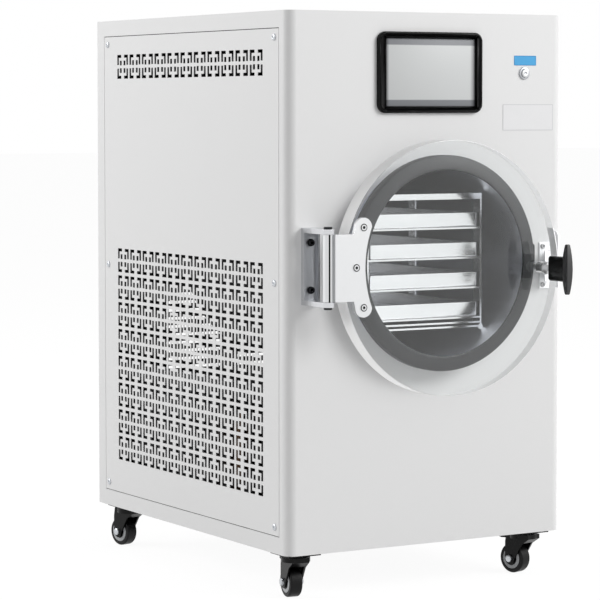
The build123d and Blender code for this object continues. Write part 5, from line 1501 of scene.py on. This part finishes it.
@dataclass
class Latch:
    """T-shaped knob, bush, spindle and keeper, and the guard strip on the disc's rim.

    The bar's tip depth and width are shares of its full ones. The dog is the spindle's dark far end.
    """

    bar_steps: int = 10
    bar_tip_depth: float = 0.4
    bar_tip_width: float = 0.55
    bar_depth_mm: float = 12.0
    bar_edge_mm: float = 1.2
    stem_half_mm: float = 16.5
    stem_root_share: float = 0.7
    stem_corner_mm: float = 4.0
    stem_edge_mm: float = 0.8
    knob_lit_tilt: float = 0.8
    turned_edge_mm: float = 0.5
    dog_mm: float = 8.0
    keeper_head_mm: float = 3.5
    keeper_head_height_mm: float = 2.0
    guard_edge_mm: float = 0.3

    def bar(self, centre: Vector, half: Vector) -> bpy.types.Object:
        """Swell the knob's cross bar from its tips to its middle by drawing rings up from a plate.

        Args:
            centre: the bar's centre.
            half: half its width, depth and length.

        Returns:
            The bar.
        """
        deselect()
        foot = Vector((centre.x, centre.y, centre.z - half.z))
        bpy.ops.mesh.primitive_plane_add(size=2, location=foot)
        bpy.context.active_object.scale = (half.x, half.y, 1)
        piece = named("knob_bar")
        edit_all()
        heights = [-math.cos(math.pi * i / self.bar_steps) for i in range(self.bar_steps + 1)]
        fullness = [1 - height * height for height in heights]
        depths = [self.bar_tip_depth + (1 - self.bar_tip_depth) * full for full in fullness]
        widths = [self.bar_tip_width + (1 - self.bar_tip_width) * full for full in fullness]
        bpy.ops.transform.resize(value=(widths[0], depths[0], 1), center_override=foot)
        for i in range(1, len(heights)):
            rise = (heights[i] - heights[i - 1]) * half.z
            bpy.ops.mesh.extrude_region_move(TRANSFORM_OT_translate={"value": (0, 0, rise)})
            bpy.ops.transform.resize(value=(widths[i] / widths[i - 1], depths[i] / depths[i - 1], 1),
                                     center_override=(centre.x, centre.y, centre.z + heights[i] * half.z))
        tidy_shell()
        object_mode()
        return soften(piece, self.bar_edge_mm, segments=3, degrees=40)

    def knob(self) -> None:
        """Handle with an oblong stem and a swelling cross bar; its stem and the faces that look neither to
        the front nor to the sides are painted deeper black as shade.
        """
        low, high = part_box("knob")
        centre = (low + high) / 2
        depth, stem_half = self.bar_depth_mm * MM, self.stem_half_mm * MM
        bar = self.bar(Vector((centre.x, low.y + depth / 2, centre.z)),
                       Vector(((high.x - low.x) / 2, depth / 2, (high.z - low.z) / 2)))
        stem = block("knob_stem", (low.x, low.y + depth * self.stem_root_share, centre.z - stem_half),
                     (high.x, high.y, centre.z + stem_half))
        bevel_edges(stem, along_y, self.stem_corner_mm, segments=6)
        soften(stem, self.stem_edge_mm, segments=3, degrees=40)
        piece = place(joined("knob_moulded", (bar, stem)), "latch", PHENOLIC, "knob", slot="black_knob")
        neck = low.y + depth
        # The deeper black on the stem and on faces turned from the front and sides is painted shade.
        coat_faces(piece, SHADED_PHENOLIC, lambda at, normal: at.y > neck
                   or max(-normal.y, abs(normal.x)) < self.knob_lit_tilt)

    def build(self) -> None:
        """Build the knob, what it turns in the disc, and what its dog meets."""
        self.knob()
        edge = self.turned_edge_mm
        place(cad_copy("latch_bush", "latch_bush_turned", edge), "door", SATIN_STAINLESS, slot="zinc")
        spindle = cad_copy("latch_spindle", "latch_spindle_turned", edge)
        place(spindle, "latch", DULL_PLATE, slot="screw_steel")
        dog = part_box("latch_spindle")[1].y - self.dog_mm * MM
        coat_faces(spindle, BLACK_OXIDE_AND_SHADE, lambda at, _: at.y > dog)
        place(cad_copy("latch_keeper", "latch_keeper_folded", edge), "cabinet", DULL_PLATE, slot="chrome")
        screw_pair("keeper_screws", "keeper_screw_heads", self.keeper_head_mm, self.keeper_head_height_mm,
                   SCREW_STEEL)
        guard = cad_copy("rim_guard", "rim_guard_bent", self.guard_edge_mm)
        place(guard, "door", DULL_PLATE, slot="zinc")


# ---------------------------------------------------------------- casters


@dataclass
class Caster:
    """One swivel caster: fork, wheel with its hubs, axle caps, swivel race, and a brake pedal in front.

    Round parts are given by their radii. The wheel's face and the fork's cheek count from the wheel's middle.
    """

    corner: Corner
    fork_edge_mm: float = 0.8
    pedal_edge_mm: float = 0.5
    wheel_half_mm: float = 8.5
    hub_mm: tuple[float, float] = (9.6, 14.4)
    hub_depth_mm: float = 1.0
    cheek_mm: float = 12.0
    axle_mm: float = 5.15
    race_mm: float = 15.8
    race_wall_mm: float = 1.2
    race_gap_mm: float = 0.6
    plate_mm: float = 2.1

    def joint_value(self, motion: str, key: str) -> Vector:
        """Read the frame's value for one of the caster's joints.

        Args:
            motion: "roll" or "swivel".
            key: "pos_m" for its place or "axis" for its axis.

        Returns:
            The value.
        """
        name = f"{motion}_{self.corner.value}"
        joint = next(joint for joint in frame["joints"] if joint["name"] == name)
        return Vector(joint[key])

    def aligned(self, piece: bpy.types.Object) -> bpy.types.Object:
        """Swing a piece made along the world's X axis onto the wheel's own axle line.

        Args:
            piece: the piece.

        Returns:
            The piece.
        """
        axis = self.joint_value("roll", "axis")
        angle = math.atan2(axis.y, axis.x)
        if math.cos(angle) < 0:
            angle += math.pi
        return shifted(piece, (0, 0, 0), -angle, self.joint_value("roll", "pos_m"))

    def both_sides(self, name: str, profile: Profile, segments: int, closed: bool) -> bpy.types.Object:
        """Turn a part on each side of the wheel.

        Args:
            name: the piece's name.
            profile: radius and station of each ring, counted outwards from the wheel's middle.
            segments: number of sides.
            closed: whether the profile closes on itself.

        Returns:
            The two parts as one piece, on the wheel's axle line.
        """
        centre = self.joint_value("roll", "pos_m")
        parts = [turned(name, centre, [(radius, sign * station) for radius, station in profile],
                        segments, along=(1, 0, 0), closed=closed) for sign in (-1, 1)]
        return self.aligned(joined(name, parts))

    def hubs(self) -> None:
        """Nylon ring let into each face of the wheel."""
        near, far = (value * MM for value in self.hub_mm)
        face = self.wheel_half_mm * MM
        back = face - self.hub_depth_mm * MM
        profile = ((near, back), (near, face + 0.35 * MM), (near + 0.6 * MM, face + 0.5 * MM),
                   (far - 0.8 * MM, face + 0.4 * MM), (far, face - 0.1 * MM), (far, back))
        piece = self.both_sides(f"hub_{self.corner.value}", profile, segments=48, closed=True)
        place(smooth(piece, degrees=40), f"wheel_{self.corner.value}", NYLON)

    def axle_caps(self) -> None:
        """Bright domed cap on each end of the axle."""
        rim, cheek = self.axle_mm * MM, self.cheek_mm * MM
        profile = ((rim, cheek), (rim, cheek + 2.6 * MM), (rim * 0.86, cheek + 3.1 * MM),
                   (rim * 0.5, cheek + 3.4 * MM))
        piece = self.both_sides(f"axle_caps_{self.corner.value}", profile, segments=32, closed=False)
        place(smooth(piece, degrees=50), f"fork_{self.corner.value}", ZINC_PLATE)

    def race(self) -> None:
        """Bright swivel race between the plate and the fork."""
        pivot = self.joint_value("swivel", "pos_m")
        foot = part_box(f"caster_fork_{self.corner.value}")[1].z + self.race_gap_mm * MM
        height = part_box("caster_plates")[1].z - self.plate_mm * MM - foot
        rim, bore = self.race_mm * MM, (self.race_mm - self.race_wall_mm) * MM
        profile = ((bore, 0), (rim - 0.3 * MM, 0), (rim, 0.4 * MM), (rim, height), (bore, height))
        piece = turned(f"race_{self.corner.value}", (pivot.x, pivot.y, foot), profile, segments=48,
                       along=(0, 0, 1))
        place(smooth(piece, degrees=40), "cabinet", ZINC_PLATE)

    def build(self) -> None:
        """Build the caster: the CAD's fork, wheel and pedal with rounded edges, and what is new on them."""
        key, edge = self.corner.value, self.fork_edge_mm
        fork = cad_copy(f"caster_fork_{key}", f"fork_{key}_pressed", edge)
        place(fork, f"fork_{key}", BLACK_ENAMEL, slot="caster_black")
        wheel = cad_copy(f"caster_wheel_{key}", f"wheel_{key}_moulded", edge, segments=3)
        place(wheel, f"wheel_{key}", TREAD, slot="wheel_black")
        self.hubs()
        self.axle_caps()
        self.race()
        if f"brake_pedal_{key}" in frame["nodes"]:
            pedal = cad_copy(f"brake_pedal_{key}", f"pedal_{key}_pressed", self.pedal_edge_mm)
            place(pedal, f"pedal_{key}", BLACK_ENAMEL, slot="caster_black")


# ---------------------------------------------------------------- fittings and machinery


@dataclass
class Fittings:
    """Vacuum port, mains inlet and drain valve on the back, and the casters' plates."""

    edge_mm: float = 0.5

    def build(self) -> None:
        """Round the fittings' edges and finish them."""
        fittings = (("vacuum_port", "cabinet", SATIN_STAINLESS, "stainless"),
                    ("power_inlet", "cabinet", MOULDED_ABS, "black_plastic"),
                    ("drain_valve", "cabinet", BRASS, "brass"),
                    ("drain_lever", "drain_lever", GRIP_VINYL, "red_grip"),
                    ("caster_plates", "cabinet", BLACK_ENAMEL, "caster_black"))
        for node, body, finish, slot in fittings:
            place(cad_copy(node, f"{node}_finished", self.edge_mm), body, finish, slot=slot)


INNER_FINISHES: dict[str, Finish] = {
    "chamber_insulation": FOAM_AND_SHADE,
    "chamber_cradle": GALVANISED_SHEET,
    "display_board": SOLDER_MASK,
    "compressor": CAN_PAINT,
    "compressor_grommets": BUFFER_RUBBER,
    "condenser": FIN_STOCK,
    "fan_shroud": GALVANISED_SHEET,
    "fan_rotor": FIN_STOCK,
    "filter_dryer": COPPER,
    "refrigerant_lines": COPPER,
    "electronics_shelf": GALVANISED_SHEET,
    "control_board": SOLDER_MASK,
    "power_supply": GALVANISED_SHEET,
    "drain_line": HOSE_PVC,
}


@dataclass
class Machinery:
    """What stands inside the casing, and the drain line: CAD solids that stay and get a finish."""

    def build(self) -> None:
        """Give each solid its finish."""
        for node, finish in INNER_FINISHES.items():
            solid = frame["nodes"][node]
            solid.data.materials.clear()
            solid.data.materials.append(finish.material())
            LOG.info("%s: %s", node, finish.name)


# ---------------------------------------------------------------- studio


@dataclass(frozen=True)
class Lamp:
    """A square soft lamp: its place and its side in metres, and its power in watts."""

    name: str
    at: Point
    side: float
    watts: float

    def hang(self, aim: Point) -> None:
        """Hang the lamp, unseen through clear pieces.

        Args:
            aim: the point that it faces.
        """
        data = bpy.data.lights.new(self.name, "AREA")
        data.size = self.side
        data.energy = self.watts
        lamp = bpy.data.objects.new(self.name, data)
        lamp.location = self.at
        lamp.visible_transmission = False
        lamp.rotation_euler = (Vector(aim) - Vector(self.at)).to_track_quat("-Z", "Y").to_euler()
        bpy.context.scene.collection.objects.link(lamp)


@dataclass
class Studio:
    """Pale floor, soft lamps, white surroundings and the camera."""

    white: str = "FFFFFF"
    ambient: float = 0.42
    floor_m: float = 60.0
    floor_paint: str = "D8D8D8"
    floor_glow: float = 1.1
    floor_glow_share: float = 0.85
    lamps: tuple[Lamp, ...] = (Lamp("lamp_rear_left", (-3.2, 2.3, 2.0), 2.0, 84),
                               Lamp("lamp_front_right", (2.8, -3.2, 2.7), 2.2, 141))
    aim: Point = (0.0, 0.0, 0.4)
    camera_at: Point = (-1.87578, -3.12865, 0.63562)
    camera_turn_deg: Point = (87.0835, 0.036, -30.461)
    lens_mm: float = 155.81
    sensor_mm: float = 36.0
    lens_shift: float = -0.1
    sight_m: float = 100.0

    def seen_direct(self, tree: bpy.types.NodeTree) -> bpy.types.NodeSocket:
        """Tell the rays that show a surface from those that only carry light.

        Args:
            tree: the node tree.

        Returns:
            A socket that is 1 for camera, glossy and transmission rays, and 0 for the others.
        """
        path = add_node(tree, "ShaderNodeLightPath")
        first = add_node(tree, "ShaderNodeMath", {"operation": "MAXIMUM"},
                         links={0: path.outputs["Is Camera Ray"], 1: path.outputs["Is Glossy Ray"]})
        both = add_node(tree, "ShaderNodeMath", {"operation": "MAXIMUM"},
                        links={0: first.outputs[0], 1: path.outputs["Is Transmission Ray"]})
        return both.outputs[0]

    def world(self) -> None:
        """White surroundings that give a softer light than they look."""
        world = bpy.data.worlds.new("studio")
        bpy.context.scene.world = world
        world.use_nodes = True
        tree = world.node_tree
        tree.nodes.clear()
        white = linear(self.white)
        light = add_node(tree, "ShaderNodeBackground", values={"Color": white, "Strength": self.ambient})
        seen = add_node(tree, "ShaderNodeBackground", values={"Color": white, "Strength": 1.0})
        mix = add_node(tree, "ShaderNodeMixShader",
                       links={0: self.seen_direct(tree), 1: light.outputs[0], 2: seen.outputs[0]})
        add_node(tree, "ShaderNodeOutputWorld", links={"Surface": mix.outputs[0]})

    def floor(self) -> None:
        """Wide floor that keeps a faint shadow on white."""
        deselect()
        bpy.ops.mesh.primitive_plane_add(size=self.floor_m)
        piece = named("studio_floor")
        material, tree = new_material("studio_floor_paint")
        paint = add_node(tree, "ShaderNodeBsdfDiffuse", values={"Color": linear(self.floor_paint)})
        glow = add_node(tree, "ShaderNodeEmission",
                        values={"Color": linear(self.white), "Strength": self.floor_glow})
        share = add_node(tree, "ShaderNodeMath", {"operation": "MULTIPLY"}, {1: self.floor_glow_share},
                         {0: self.seen_direct(tree)})
        mix = add_node(tree, "ShaderNodeMixShader",
                       links={0: share.outputs[0], 1: paint.outputs[0], 2: glow.outputs[0]})
        add_node(tree, "ShaderNodeOutputMaterial", links={"Surface": mix.outputs[0]})
        piece.data.materials.append(material)

    def camera(self) -> None:
        """Long lens, level with the cabinet's upper half, to its front left."""
        data = bpy.data.cameras.new("camera")
        data.lens = self.lens_mm
        data.shift_y = self.lens_shift
        data.sensor_width = self.sensor_mm
        data.clip_end = self.sight_m
        camera = bpy.data.objects.new("camera", data)
        camera.location = self.camera_at
        camera.rotation_euler = [math.radians(angle) for angle in self.camera_turn_deg]
        bpy.context.scene.collection.objects.link(camera)
        bpy.context.scene.camera = camera

    def build(self) -> None:
        """Set up the studio."""
        bpy.context.scene.view_settings.view_transform = "Standard"
        self.world()
        self.floor()
        for lamp in self.lamps:
            lamp.hang(self.aim)
        self.camera()


def main() -> None:
    """Build the freeze dryer and its studio."""
    logging.basicConfig(level=logging.INFO, format="%(message)s")
    Cabinet().build()
    for side in Side:
        VentedPanel(side).build()
    Fasteners().build()
    Controls().build()
    Chamber().build()
    Disc().build()
    Hinge().build()
    Latch().build()
    for corner in Corner:
        Caster(corner).build()
    Fittings().build()
    Machinery().build()
    Studio().build()


if __name__ == "__main__":
    main()
